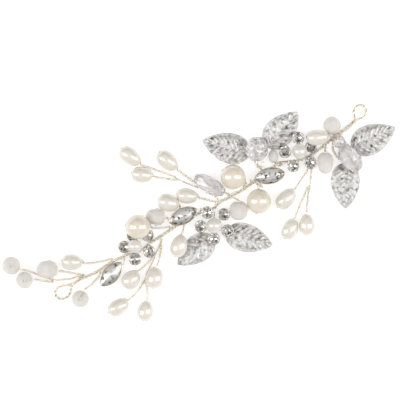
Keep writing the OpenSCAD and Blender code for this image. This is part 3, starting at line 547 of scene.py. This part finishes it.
# Small loops and knots beside the branches: the wire's radius, its coil, the turn, then the points
wireKnots = {
    "far_left_wires": [
        (0.17, 0, 1, [(-30.2, -23.1, 1.4), (-30.3, -24.4, 2.6), (-30.8, -26.0, 3.7), (-31.6, -27.8, 4.2),
                      (-32.6, -29.6, 4.3)]),
        (0.15, 0.5, 0.42, [(-48.4, -30.5, 1.3), (-47.4, -30.2, 1.3), (-46.4, -29.9, 1.3)]),
        (0.15, 0.48, 0.42, [(-59.4, -32.4, 1.1), (-58.6, -32.3, 1.1)]),
    ],
    "middle_wires": [
        (0.24, 0.26, 1.3, [(-6.7, -11.6, 2.0), (-6.9, -12.8, 3.1), (-7.2, -13.7, 4.2)]),
        (0.15, 0.5, 0.42, [(31.4, 13.9, 1.7), (32.2, 13.9, 1.7), (33.0, 14.1, 1.6)]),
        (0.16, 0, 1, [(23.5, 6.9, 1.4), (22.9, 5.6, 3.3), (23.4, 4.95, 4.9)]),
        (0.16, 0, 1, [(23.6, 6.9, 1.4), (24.9, 5.7, 3.3), (24.8, 4.95, 4.9)]),
        (0.15, 0.46, 0.5, [(24.5, 12.2, 1.5), (23.9, 13.0, 1.9), (23.3, 13.8, 2.7)]),
        (0.16, 0, 1, [(24.5, 13.0, 2.0), (25.3, 13.6, 2.4), (25.9, 14.6, 2.6), (25.2, 15.3, 2.6),
                      (24.4, 14.7, 2.5), (24.6, 13.4, 2.2)]),
        (0.16, 0, 1, [(13.1, 0.9, 1.9), (14.1, 1.9, 2.4), (14.7, 3.0, 3.0), (14.2, 3.7, 3.6),
                      (13.2, 3.2, 3.6), (12.2, 2.4, 3.2)]),
    ],
    "right_wires": [
        (0.15, 2.0, 0.36, [(56.55, 21.75, 5.0), (56.85, 21.3, 5.0)]),
        (0.20, 0.36, 1.3, [(53.0, 20.9, 1.3), (53.5, 19.1, 1.3), (54.6, 17.4, 1.2), (55.9, 16.2, 0.95)]),
        (0.15, 0.5, 0.42, [(50.2, 21.4, 1.5), (50.1, 20.6, 2.3)]),
        (0.16, 0.85, 0.45, [(55.4, 26.0, 1.3), (56.2, 26.7, 1.35)]),
    ],
}


def smoothRoute(points, step=1.0):
    points = [Vector(p) for p in points]
    last = len(points) - 1
    way = []
    for i in range(last):
        a, b, c, d = points[max(i - 1, 0)], points[i], points[i + 1], points[min(i + 2, last)]
        count = max(1, round((c - b).length / step))
        for s in range(count):
            t = s / count
            way.append(0.5 * (2 * b + (c - a) * t + (2 * a - 5 * b + 4 * c - d) * t ** 2
                              + (3 * b - a - 3 * c + d) * t ** 3))
    return way + [points[last]]


def geometryTree(name, sockets):
    tree = bpy.data.node_groups.new(name, "GeometryNodeTree")
    for socket, kind in {"Geometry": "Geometry", **sockets}.items():
        tree.interface.new_socket(socket, in_out="INPUT", socket_type=f"NodeSocket{kind}")
    tree.interface.new_socket("Geometry", in_out="OUTPUT", socket_type="NodeSocketGeometry")
    return tree, addNode(tree, "NodeGroupInput").outputs


# Every tree ends in real geometry in the metal that it is given
def endTree(tree, metal, geometry):
    real = addNode(tree, "GeometryNodeRealizeInstances", {"Geometry": geometry})
    coated = addNode(tree, "GeometryNodeSetMaterial",
                     {"Geometry": real.outputs["Geometry"], "Material": metal})
    addNode(tree, "NodeGroupOutput", {"Geometry": coated.outputs["Geometry"]})
    return tree


# The plain mesh that a tree makes of a mesh of points or edges
def treeMesh(mesh, tree, values):
    holder = linked(tree.name, mesh)
    modifier = holder.modifiers.new(tree.name, "NODES")
    modifier.node_group = tree
    for item in tree.interface.items_tree:
        if item.in_out == "INPUT" and item.name in values:
            modifier[item.identifier] = values[item.name]
    return plainMesh(holder)


# Strands wound round a path. Every point of the path carries the strand's radius, how far the strand
# lies from the path, how many strands there are and the length of one turn.
def strandTree():
    tree, given = geometryTree("woundStrands", {"Step": "Float", "Sides": "Int", "Metal": "Material"})

    def carried(name, kind="FLOAT"):
        node = addNode(tree, "GeometryNodeInputNamedAttribute", {"Name": name}, data_type=kind)
        return node.outputs["Attribute"]

    def number(operation, *sources):
        return addNode(tree, "ShaderNodeMath", dict(enumerate(sources)), operation=operation).outputs[0]

    def vector(operation, first, second):
        sources = {0: first, "Scale" if operation == "SCALE" else 1: second}
        return addNode(tree, "ShaderNodeVectorMath", sources, operation=operation).outputs[0]

    along = addNode(tree, "GeometryNodeSplineParameter").outputs["Length"]
    tangent = addNode(tree, "GeometryNodeInputTangent").outputs["Tangent"]
    normal = addNode(tree, "GeometryNodeInputNormal").outputs["Normal"]
    strands = carried("strands", "INT")
    curve = addNode(tree, "GeometryNodeMeshToCurve", {"Mesh": given["Geometry"]})
    even = addNode(tree, "GeometryNodeResampleCurve",
                   {"Curve": curve.outputs["Curve"], "Length": given["Step"]}, mode="LENGTH")
    copies = addNode(tree, "GeometryNodeDuplicateElements",
                     {"Geometry": even.outputs["Curve"], "Amount": strands}, domain="SPLINE")
    turns = number("ADD", number("DIVIDE", along, carried("pitch")),
                   number("DIVIDE", copies.outputs["Duplicate Index"], strands))
    angle = number("MULTIPLY", turns, math.tau)
    around = vector("ADD", vector("SCALE", normal, number("COSINE", angle)),
                    vector("SCALE", vector("CROSS_PRODUCT", tangent, normal), number("SINE", angle)))
    moved = addNode(tree, "GeometryNodeSetPosition", {"Geometry": copies.outputs["Geometry"],
                                                      "Offset": vector("SCALE", around, carried("coil"))})
    ring = addNode(tree, "GeometryNodeCurvePrimitiveCircle", {"Radius": 1.0, "Resolution": given["Sides"]},
                   mode="RADIUS")
    swept = addNode(tree, "GeometryNodeCurveToMesh",
                    {"Curve": moved.outputs["Geometry"], "Profile Curve": ring.outputs["Curve"],
                     "Scale": carried("strand"), "Fill Caps": True})
    smooth = addNode(tree, "GeometryNodeSetShadeSmooth", {"Geometry": swept.outputs["Mesh"]})
    return endTree(tree, given["Metal"], smooth.outputs["Geometry"])


woundStrands = strandTree()


# One strand path: its points, the strand's radius, its distance from the path, how many and the turn
def path(points, strand, coil=0.0, strands=1, pitch=1.0):
    return {"points": points, "strand": strand, "coil": coil, "strands": strands, "pitch": pitch}


def wirePiece(name, node, paths):
    points, edges, carried = [], [], {"strand": [], "coil": [], "pitch": [], "strands": []}
    for row in paths:
        first, count = len(points), len(row["points"])
        points += [layMatrix @ Vector(p) for p in row["points"]]
        edges += [(first + i, first + i + 1) for i in range(count - 1)]
        for key, values in carried.items():
            values += [row[key] * (1 if key == "strands" else layout["metre"])] * count
    mesh = bpy.data.meshes.new(name)
    mesh.from_pydata(points, edges, [])
    for key, values in carried.items():
        kind = "INT" if key == "strands" else "FLOAT"
        mesh.attributes.new(key, kind, "POINT").data.foreach_set("value", values)
    step = wireSet["step"] * layout["metre"]
    wound = treeMesh(mesh, woundStrands, {"Step": step, "Sides": wireSet["sides"], "Metal": materials["wire"]})
    standIn(name, wound, node)
    print(name, len(wound.polygons), "faces")


def stem(route):
    return path(smoothRoute(route), wireSet["strand"], wireSet["coil"], 2, wireSet["branchPitch"])


# Thread through a bead lengthwise, out at its tip, and back along its lower side to where it came in
def lengthwise(bead, bulge):
    middle, axis, half = bead["middle"], bead["axis"], bead["length"] / 2
    low = math.radians(wireSet["backTurn"])
    away = (axis.cross(upward) * math.sin(low) - upward * math.cos(low)).normalized()
    start = middle - axis * (half + wireSet["stemGap"])
    reach = bead["across"] / 2 + wireSet["thread"] + wireSet["clear"]
    points = [start, middle - axis * half, middle, middle + axis * half,
              middle + axis * (half + 0.2) + away * 0.12, middle + axis * (half + 0.05) + away * 0.8]
    for degrees in range(66, -67, -12):
        a = math.radians(degrees)
        off = reach * math.cos(a) ** bulge + wireSet["clear"]
        points.append(middle + axis * half * math.sin(a) + away * off)
    return path(smoothRoute(points + [start], 0.7), wireSet["thread"])


# Wire round one side of a bead from its stem to the mouth of the hole, and into it
def roundSide(bead, out, along, bulge):
    off = wireSet["thread"] + wireSet["sideClear"]
    reach, half = bead["across"] / 2 + off, bead["length"] / 2 + off
    flat = [(-reach - 0.35, 0)]
    for degrees in range(20, 77, 14):
        a = math.radians(degrees)
        flat.append((-reach * math.cos(a) ** bulge, half * math.sin(a)))
    flat += [(-0.95, half + 0.08), (-0.4, half + 0.2), (-0.1, half), (0, half - 0.6), (0, half - 1.6)]
    return path(smoothRoute([bead["middle"] + out * x + along * y for x, y in flat], 0.5), wireSet["thread"])


# Branch to a leaf, from below it and up through its hole
def leafStalk(number, route):
    base, heading = leafRows[number - 1][:2]
    out = headed(heading)
    mouth = Vector((*base, leafSet["edgeHeight"] + leafSet["wireRise"])) + out * leafSet["holeAt"]
    tail = route[-2:] + [mouth - upward * 0.3, mouth + upward * 0.6, mouth + out * 0.5 + upward * 0.75]
    return [stem(route[:-1]), path(smoothRoute(tail, 0.4), wireSet["single"])]


def branchPaths(kind, number, route):
    route = [Vector(p) for p in route]
    if kind == "knot":
        return [path(smoothRoute(route), wireSet["single"], wireSet["knotCoil"], 2, wireSet["knotPitch"])]
    if kind == "leaf":
        return leafStalk(number, route)
    if kind == "navette_setting":
        return [stem(route)]
    out = headed(beadHeadings[kind][number - 1])
    along = beadAxis(kind, number)
    bead = measured(f"{kind}_{number}", along)
    if beadWay(kind, number) == "along":
        end = bead["middle"] - out * (bead["length"] / 2 + wireSet["stemGap"])
        bulge = wireSet["riceBulge"] if kind == "rice_pearl" else wireSet["backBulge"]
        return [stem(route + [end]), lengthwise(bead, bulge)]
    end = bead["middle"] - out * (bead["across"] / 2 + wireSet["sideGap"])
    sides = [along] if number in oneSided else [along, -along]
    return [stem(route + [end])] + [roundSide(bead, out, side, wireSet["frostedBulge"]) for side in sides]


# Where a branch leaves the nearest wire already laid, and the fine wire wound round both there
def rooted(route, laid):
    start = Vector(route[0])
    spots = ((way, i) for way in laid for i in range(len(way)))
    way, at = min(spots, key=lambda spot: (spot[0][spot[1]] - start).length)
    if (way[at] - start).length > wireSet["rootReach"]:
        return route, []
    strand = wireSet["spineStrand"] if way is laid[0] else wireSet["strand"]
    tie = way[max(0, at - 2):at + 3]
    bound = path(tie, wireSet["binding"], strand * 2 + wireSet["clear"], 1, wireSet["tiePitch"])
    return [way[at]] + route, [bound] if len(tie) > 2 else []


def spinePaths():
    left = smoothRoute(leftLoopRoute, 0.8)
    middle = smoothRoute(spineRoute, 1.2)
    right = smoothRoute(rightLoopRoute, 0.8)
    thick, thin = wireSet["spineStrand"], wireSet["loopStrand"]
    return [
        path([Vector(loopEnds["left"])] + left + middle[:1], thin, thin, 2, 3.4),
        path(left[-2:] + middle[:4], thick, 0.42, 2, 2.6),
        path(middle[:-7], thick, thick * 1.1, 2, wireSet["spinePitch"]),
        path(middle[:-7], wireSet["binding"], thick * 2.0, 1, wireSet["spinePitch"] / 2),
        path(middle[-9:] + right[:1], thick + 0.03, 0.62, 2, 3.1),
        path(middle[-2:] + right + [Vector(loopEnds["right"])], thin * 1.05, thin, 2, 4.6),
    ]


wirePiece("spine_twist", "spine_wire", spinePaths())
laid = [smoothRoute(spineRoute, 0.4)]
for node, rows in branchRoutes.items():
    paths = []
    for kind, number, route in rows:
        route, tie = rooted(route, laid)
        laid.append(smoothRoute(route, 0.4))
        paths += branchPaths(kind, number, route) + tie
    for wire, coil, turn, route in wireKnots.get(node, []):
        paths.append(path(smoothRoute(route, 0.5), wire, coil, 1, turn))
    wirePiece(node.replace("_wires", "_twists"), node, paths)
print("wires are wound")


def clamped(value):
    return min(1.0, max(0.0, value))


# Width of a leaf along its length, 1 where it is widest
def widthShare(s):
    return s ** 0.52 * (1 - s) ** 0.85 / 0.401


def leafRelief(s, v, halfWidth, number):
    y = abs(v) * halfWidth
    rise, fall = leafSet["fades"]
    fade = min(1.0, (1 - s) * fall) * min(1.0, s * rise)
    phase = leafSet["veins"] * (s - leafSet["veinLean"] * abs(v) ** 0.85)
    first, last = leafSet["veinsTo"]
    vein = (0.5 + 0.5 * math.cos(math.tau * phase)) ** 3 * clamped((last - abs(v)) / (last - first))
    vein *= min(1.0, y / leafSet["veinStart"])
    spot = Vector((s * leafSet["length"], v * halfWidth, number * leafSet["netShift"])) / leafSet["netSize"]
    near = noise.voronoi(spot)[0]
    net = min(1.0, (near[1] - near[0]) * leafSet["netSlope"])
    atTip = clamped((s - leafSet["dentsFrom"]) * 10) * (1 - s) ** 0.3
    dent = leafSet["dentHeight"] * atTip * noise.noise(spot * leafSet["netSize"] / leafSet["dentSize"])
    rib = math.exp(-(y / leafSet["ribWidth"]) ** 2)
    edge = math.exp(-((halfWidth - y) / leafSet["rimWidth"]) ** 2)
    return ((leafSet["veinHeight"] * vein - leafSet["netHeight"] * (1 - net)) * fade * (1 - edge)
            + leafSet["ribHeight"] * rib * fade + leafSet["rimHeight"] * edge + dent)


def leafMesh(number):
    base, heading, pitch, bend, lengthShare, breadthShare = leafRows[number - 1]
    length, width = leafSet["length"] * lengthShare, leafSet["width"] * breadthShare
    along, across = leafSet["stepsAlong"], leafSet["stepsAcross"]
    first, last = leafSet["ends"]
    points = []
    for i in range(along + 1):
        s = min(last, max(first, (1 - math.cos(math.pi * i / along)) / 2))
        full = widthShare(s)
        half = full * width / 2
        for k in range(across + 1):
            v = 2 * k / across - 1
            arch = leafSet["arch"] * (1 - v * v) - leafSet["crease"] * (1 - abs(v)) ** 4
            points.append((length * s, v * half + bend * s * s, arch * full + leafRelief(s, v, half, number)))
    sheet = leafSet["thickness"] / 2
    top = [(x, y, z + sheet) for x, y, z in points]
    under = [(x, y, z - sheet) for x, y, z in points]
    wide, count = across + 1, len(points)
    faces = []
    for i in range(along):
        for k in range(across):
            a = i * wide + k
            faces.append((a, a + 1, a + wide + 1, a + wide))
            faces.append((a + count, a + wide + count, a + wide + 1 + count, a + 1 + count))
    rim = ([i * wide for i in range(along + 1)] + [along * wide + k for k in range(1, wide)]
           + [i * wide + across for i in range(along - 1, -1, -1)] + list(range(across - 1, 0, -1)))
    faces += [(a, b, b + count, a + count) for a, b in zip(rim, rim[1:] + rim[:1])]
    place = (Matrix.Translation((*base, leafSet["edgeHeight"]))
             @ Matrix.Rotation(math.radians(heading), 4, "Z") @ Matrix.Rotation(math.radians(-pitch), 4, "Y"))
    return outward(meshFrom(f"leaf{number}", top + under, faces, materials["leaf"], True, place)), place


def drilled(mesh, hole):
    sides, reach = leafSet["drillSides"], 4 * leafSet["thickness"]
    points = [point for z in (-reach, reach) for point in circle(leafSet["holeWidth"] / 2, sides, z)]
    drill = linked("drill", meshFrom("drill", points, cappedFaces(2, sides), materials["leaf"], False, hole))
    blank = linked("blank", mesh)
    cut = blank.modifiers.new("hole", "BOOLEAN")
    cut.object = drill
    cut.operation = "DIFFERENCE"
    cut.solver = "EXACT"
    sheet = plainMesh(blank)
    bpy.data.objects.remove(drill)
    return sheet


def eyeletMesh(hole):
    radius = leafSet["holeWidth"] / 2 + leafSet["eyeletGap"]
    section = [(radius + x, z) for x, z, level in circle(leafSet["eyeletWire"], leafSet["eyeletSides"])]
    height = leafSet["arch"] + leafSet["thickness"] / 2 - leafSet["eyeletDrop"]
    return latheMesh("eyelet", section, leafSet["eyeletTurns"], materials["leaf"],
                     hole @ Matrix.Translation((0, 0, height)))


for number in range(1, len(leafRows) + 1):
    name = f"leaf_stamping_{number}"
    blank, place = leafMesh(number)
    hole = place @ Matrix.Translation((leafSet["holeAt"], 0, 0))
    standIn(name, joined(name, [drilled(blank, hole), eyeletMesh(hole)]), f"leaf_{number}")
print("leaves are stamped")


# Round rhinestones and navettes in their settings. Point tells how pointed the outline's ends are, and
# table and kites how far the corners of those facets lie out, as shares of the stone's outline.
chatonSet = {
    "width": 5.0, "height": 2.4, "wall": 0.24, "crown": 0.85, "pavilion": 1.5,
    "point": 0, "table": 0.58, "kites": 0.80, "sides": 40,
    "clawTurns": (45, 135, 225, 315), "turnEach": 17, "clawInset": 0.05,
}
navetteSet = {
    "length": 12.6, "width": 6.8, "height": 2.6, "wall": 0.3, "crown": 0.72, "pavilion": 0.62,
    "point": 0.4, "table": 0.46, "kites": 0.76, "sides": 48,
    "stoneGap": 1.0, "clawTurns": (50, 130, 230, 310, 0, 180), "clawInset": 0.2, "clawLean": 2.2, "base": 2.0,
}
navetteSeats = [(-35.5, -29.6, 48), (-6.7, -6.4, 25), (27.9, 9.7, 10)]      # middle and heading
stoneCut = {"kiteHeight": 0.64, "girdle": 0.12, "bellyReach": 0.62, "bellyDepth": 0.55}
# Clusters: hub, start of the stem on the spine, width of the pearl, and the rhinestones round the hub as
# bearing, reach as a share of touching the pearl, and base height
clusterHeight = 2.6
clusters = [
    {"hub": (-26.0, -18.5), "stem": (-25.4, -19.4), "pearl": 5.55,
     "stones": [(184, 0.80, 0.25), (271, 0.97, 2.0), (340, 1.15, 2.0), (41, 1.27, 0.25), (100, 0.84, 0.25)]},
    {"hub": (5.7, -10.2), "stem": (5.7, -4.7), "pearl": 6.2,
     "stones": [(118, 1.05, 2.0), (49, 1.06, 2.0), (184, 0.965, 2.0), (268, 0.95, 2.0), (339, 1.01, 2.0)]},
    {"hub": (39.8, 19.4), "stem": (40.1, 17.3), "pearl": 6.02,
     "stones": [(96, 0.99, 1.45), (182, 1.07, 1.0), (246, 1.155, 2.0), (314, 1.145, 2.0), (23.5, 0.91, 0.9)]},
]


def onOutline(degrees, length, width, point):
    a = math.radians(degrees)
    s = math.sin(a)
    return (length / 2 * math.cos(a), width / 2 * math.copysign(abs(s) ** (1 + point), s))


# Table, stars, kites and girdle facets above, a foiled pavilion below
def stoneMesh(name, cut, length, width, foil, place):
    def corners(count, turn, share, z):
        outline = [onOutline(turn + 360 / count * k, length, width, cut["point"]) for k in range(count)]
        return [(share * x, share * y, z) for x, y in outline]

    points = (corners(8, 22.5, cut["table"], cut["crown"])
              + corners(8, 0, cut["kites"], cut["crown"] * stoneCut["kiteHeight"])
              + corners(16, 0, 1, 0) + corners(16, 0, 1, -stoneCut["girdle"])
              + corners(8, 22.5, stoneCut["bellyReach"], -cut["pavilion"] * stoneCut["bellyDepth"])
              + [(0, 0, -cut["pavilion"])])
    kite, rim, low, mid, tip = 8, 16, 32, 48, 56          # first corner of each ring
    crownFaces = [tuple(range(8))]
    foilFaces = []
    for k in range(8):
        n = (k + 1) % 8
        even, odd, after = 2 * k, 2 * k + 1, (2 * k + 2) % 16
        crownFaces += [(k, kite + n, n), (k, rim + odd, kite + n), (k, kite + k, rim + odd),
                       (kite + k, rim + even, rim + odd), (kite + n, rim + odd, rim + after)]
        foilFaces += [(low + even, low + odd, mid + k), (low + odd, low + after, mid + k),
                      (mid + k, low + after, mid + n), (mid + k, mid + n, tip)]
    foilFaces += [(rim + k, rim + (k + 1) % 16, low + (k + 1) % 16, low + k) for k in range(16)]
    mesh = meshFrom(name, points, crownFaces + foilFaces, materials["cutGlass"], False, place)
    mesh.materials.append(materials[foil])
    mesh.polygons.foreach_set("material_index", [0] * len(crownFaces) + [1] * len(foilFaces))
    return outward(mesh)


# Claws set round a stone: one bent claw on every point, turned by the angle that the point carries
def clawTree():
    tree, given = geometryTree("clawsAround", {"Claw": "Object", "Size": "Float", "Metal": "Material"})
    angle = addNode(tree, "GeometryNodeInputNamedAttribute", {"Name": "turn"}, data_type="FLOAT")
    euler = addNode(tree, "ShaderNodeCombineXYZ", {"Z": angle.outputs["Attribute"]})
    turn = addNode(tree, "FunctionNodeEulerToRotation", {"Euler": euler.outputs["Vector"]})
    claw = addNode(tree, "GeometryNodeObjectInfo", {"Object": given["Claw"]})
    each = addNode(tree, "GeometryNodeInstanceOnPoints",
                   {"Points": given["Geometry"], "Instance": claw.outputs["Geometry"],
                    "Rotation": turn.outputs["Rotation"], "Scale": given["Size"]})
    return endTree(tree, given["Metal"], each.outputs["Instances"])


clawsAround = clawTree()

# A claw stands on the wall at x = 0 and bends inwards over the stone; rows are x, z and half width
clawShapes = {
    "silver": [(-0.10, 0.7, 0.18), (0.02, 1.4, 0.20), (0.05, 2.0, 0.22), (0.03, 2.42, 0.22),
               (-0.08, 2.62, 0.21), (-0.25, 2.76, 0.18), (-0.38, 2.80, 0.11)],
    "paleGold": [(-0.05, 0.8, 0.24), (0.04, 1.6, 0.26), (0.06, 2.3, 0.27), (-0.02, 2.72, 0.27),
                 (-0.18, 2.94, 0.26), (-0.40, 3.04, 0.22), (-0.58, 3.04, 0.13)],
}
clawSides = 8
clawFlatness = 0.8


def clawObject(rows):
    points = [Vector((x + across * clawFlatness, y, z)) * layout["metre"]
              for x, z, wide in rows for across, y, level in circle(wide, clawSides)]
    mesh = bpy.data.meshes.new("claw")
    mesh.from_pydata(points, [], cappedFaces(len(rows), clawSides))
    mesh.polygons.foreach_set("use_smooth", [True] * len(mesh.polygons))
    return linked("claw", outward(mesh))


# Cups and the claws on them, in one metal; a seat is a claw's foot and its turn in degrees
def settingMesh(name, cups, seats, metal):
    claw = clawObject(clawShapes[metal])
    mesh = bpy.data.meshes.new("clawSeats")
    mesh.from_pydata([layMatrix @ foot for foot, turn in seats], [], [])
    turns = [math.radians(turn) + layout["turn"] for foot, turn in seats]
    mesh.attributes.new("turn", "FLOAT", "POINT").data.foreach_set("value", turns)
    claws = treeMesh(mesh, clawsAround, {"Claw": claw, "Size": 1.0, "Metal": materials[metal]})
    bpy.data.objects.remove(claw)
    return outward(joined(name, cups + [claws]))


def chatonSpot(cluster, stone):
    bearing, reach, base = stone
    touching = (cluster["pearl"] + chatonSet["width"]) / 2
    return Vector((*cluster["hub"], base)) + headed(bearing) * reach * touching


def chatonCup(place):
    r, h, wall = chatonSet["width"] / 2, chatonSet["height"], chatonSet["wall"]
    profile = [(r * 0.55, 0.0), (r * 0.80, 0.05), (r * 0.86, 0.6), (r * 0.97, 1.7), (r, h - 0.15),
               (r - 0.05, h + 0.02), (r - wall * 0.6, h + 0.06), (r - wall, h - 0.05),
               (r - wall - 0.15, h - 0.5), (r * 0.6, 1.0), (0.35, 0.75), (0.3, 0.25)]
    return latheMesh("cup", profile, chatonSet["sides"], materials["silver"], place)


def clusterPaths(number, cluster):
    small = measured(f"small_pearl_{number}", beadAxis("small_pearl", number))
    hub = Vector((*cluster["hub"], clusterHeight))
    root = Vector((*cluster["stem"], spineHeight))
    pearlFoot = small["middle"] - upward * (small["across"] / 2 + 0.3)
    ends = [chatonSpot(cluster, stone) + upward * 0.7 for stone in cluster["stones"]]
    return ([roundSide(small, upward, side, 1.0) for side in (small["axis"], -small["axis"])]
            + [path([hub - upward * 0.5, hub + upward * 0.5], 0.17, 0.42, 2, 0.6),
               stem([root, (root + hub) / 2, hub]), path([hub, pearlFoot], wireSet["single"])]
            + [path(smoothRoute([hub, end]), wireSet["single"]) for end in ends])


for number, cluster in enumerate(clusters, 1):
    stones, cups, seats = [], [], []
    for index, stone in enumerate(cluster["stones"]):
        spot = chatonSpot(cluster, stone)
        turn = chatonSet["turnEach"] * index
        place = Matrix.Translation(spot)
        seat = (place @ Matrix.Translation((0, 0, chatonSet["height"]))
                @ Matrix.Rotation(math.radians(turn), 4, "Z"))
        width = chatonSet["width"] - 2 * chatonSet["wall"]
        stones.append(stoneMesh("stone", chatonSet, width, width, "foil", seat))
        cups.append(chatonCup(place))
        for clawTurn in chatonSet["clawTurns"]:
            foot = spot + headed(turn + clawTurn) * (chatonSet["width"] / 2 - chatonSet["clawInset"])
            seats.append((foot, turn + clawTurn))
    name = f"rhinestones_{number}"
    standIn(name, joined(name, stones), f"cluster_stones_{number}")
    name = f"claw_settings_{number}"
    standIn(name, settingMesh(name, cups, seats, "silver"), f"cluster_settings_{number}")
wirePiece("cluster_ties", "cluster_wires",
          [row for number, cluster in enumerate(clusters, 1) for row in clusterPaths(number, cluster)])
print("rhinestones are set")


# Cup of a navette: rings that grow and shrink its outline, each with its height
def navetteCup(place):
    h, wall, sides = navetteSet["height"], navetteSet["wall"], navetteSet["sides"]
    rings = [(-1.6, 0.0), (-0.5, 0.05), (-0.3, 0.5), (-0.05, 1.4), (0.0, h - 0.2), (-0.1, h + 0.02),
             (-wall, h + 0.04), (-2 * wall, h - 0.1), (-2 * wall - 0.3, h - 0.6), (-2.6, 1.2), (-3.0, 0.6)]
    points = []
    for grow, z in rings:
        length, width = navetteSet["length"] + 1.2 * grow, navetteSet["width"] + 1.4 * grow
        points += [(*onOutline(360 * k / sides, length, width, navetteSet["point"]), z) for k in range(sides)]
    return meshFrom("navetteCup", points, ringFaces(len(rings), sides), materials["paleGold"], True, place)


for number, (x, y, turn) in enumerate(navetteSeats, 1):
    place = Matrix.Translation((x, y, navetteSet["base"])) @ Matrix.Rotation(math.radians(turn), 4, "Z")
    length, width, gap, inset = (navetteSet[key] for key in ("length", "width", "stoneGap", "clawInset"))
    name = f"navette_{number}"
    stone = stoneMesh(name, navetteSet, length - gap, width - gap, "paleFoil",
                      place @ Matrix.Translation((0, 0, navetteSet["height"])))
    standIn(name, stone, f"navette_stone_{number}")
    seats = []
    for clawTurn in navetteSet["clawTurns"]:
        px, py = onOutline(clawTurn, length - inset, width - inset, navetteSet["point"])
        lean = math.degrees(math.atan2(py * navetteSet["clawLean"], px))
        seats.append((place @ Vector((px, py, 0)), turn + lean))
    name = f"navette_claws_{number}"
    setting = settingMesh(name, [navetteCup(place)], seats, "paleGold")
    standIn(name, setting, f"navette_setting_{number}")
print("navettes are set")


# Crystal beads: bands of small flat facets, each band turned half a step from the next. End is the share
# of the width that is left at the ends.
crystalRows = [
    {"length": 13.2, "width": 7.0, "sides": 11, "bands": 8, "end": 0.42},
    {"length": 9.4, "width": 9.4, "sides": 12, "bands": 9, "end": 0.42},
    {"length": 4.0, "width": 5.4, "sides": 9, "bands": 4, "end": 0.6},
    {"length": 11.4, "width": 8.4, "sides": 11, "bands": 8, "end": 0.42},
]
crystalUneven = 0.22         # how far a facet's corner may lie inside the bead's round shape
beadSet = {"bore": 0.9, "mouth": 1.25, "steps": 32, "sides": 56}


def crystalMesh(number):
    cut = crystalRows[number - 1]
    bead = measured(f"crystal_bead_{number}", beadAxis("crystal_bead", number))
    sides, bands, half = cut["sides"], cut["bands"], cut["length"] / 2
    stop = math.acos(cut["end"])
    points = []
    for i in range(bands + 1):
        a = -stop + 2 * stop * i / bands
        for k in range(sides):
            turn = math.tau * (k + (i % 2) / 2) / sides
            uneven = 1 + crystalUneven * noise.noise(Vector((1.7 * i, 2.3 * k, number)))
            r = cut["width"] / 2 * math.cos(a) * min(1, uneven)
            points.append((r * math.cos(turn), r * math.sin(turn), half * math.sin(a) / math.sin(stop)))
    faces = []
    for i in range(bands):
        for k in range(sides):
            a, b = i * sides + k, i * sides + (k + 1) % sides
            if i % 2 == 0:
                faces += [(a, b, a + sides), (b, b + sides, a + sides)]
            else:
                faces += [(a, b, b + sides), (a, b + sides, a + sides)]
    low = len(points)                 # the bore's two rings come after the bands
    high, top = low + sides, bands * sides
    for z in (-half, half):
        points += circle(beadSet["bore"] / 2, sides, z)
    for k in range(sides):
        n = (k + 1) % sides
        faces += [(k, n, low + n, low + k), (top + k, top + n, high + n, high + k),
                  (low + k, low + n, high + n, high + k)]
    place = (Matrix.Translation(bead["middle"])
             @ Matrix.Rotation(math.radians(beadHeadings["crystal_bead"][number - 1]), 4, "Z")
             @ Matrix.Rotation(math.pi / 2, 4, "Y"))
    return outward(meshFrom(f"cut_crystal_{number}", points, faces, materials["crystal"], False, place))


for number in range(1, len(crystalRows) + 1):
    standIn(f"cut_crystal_{number}", crystalMesh(number), f"crystal_bead_{number}")
print("crystals are cut")


# Drilled beads: a smooth half section turned round the hole. Power below 1 makes it fuller than an oval,
# and taper makes it wider towards the far end.
beadLooks = {
    "rice_pearl": {"power": 0.8, "taper": 0.10, "material": "pearl", "slot": "pearl"},
    "big_pearl": {"power": 1.0, "taper": 0.0, "material": "cream", "slot": "cream_pearl"},
    "small_pearl": {"power": 1.0, "taper": 0.0, "material": "small", "slot": "pearl"},
    "frosted_bead": {"power": 0.8, "taper": 0.0, "material": "frosted", "slot": "frosted"},
}


def beadMesh(name, kind, number):
    look = beadLooks[kind]
    axis = beadAxis(kind, number)
    bead = measured(f"{kind}_{number}", axis)
    width, end, bore = bead["across"], bead["length"] / 2, beadSet["bore"] / 2
    stop = math.acos((2 * bore * beadSet["mouth"] / width) ** (1 / look["power"]))
    section = []
    for i in range(beadSet["steps"] + 1):
        a = stop * (2 * i / beadSet["steps"] - 1)
        section.append((width / 2 * math.cos(a) ** look["power"] * (1 + look["taper"] * math.sin(a)),
                        end * math.sin(a) / math.sin(stop)))
    section += [(bore, end), (bore, -end)]
    place = Matrix.Translation(bead["middle"]) @ axis.to_track_quat("Z", "Y").to_matrix().to_4x4()
    return outward(latheMesh(name, section, beadSet["sides"], materials[look["material"]], place))


for kind, look in beadLooks.items():
    for number in range(1, len(beadHeadings[kind]) + 1):
        name = f"smooth_{kind}_{number}"
        standIn(name, beadMesh(name, kind, number), f"{kind}_{number}")
print("beads are turned")
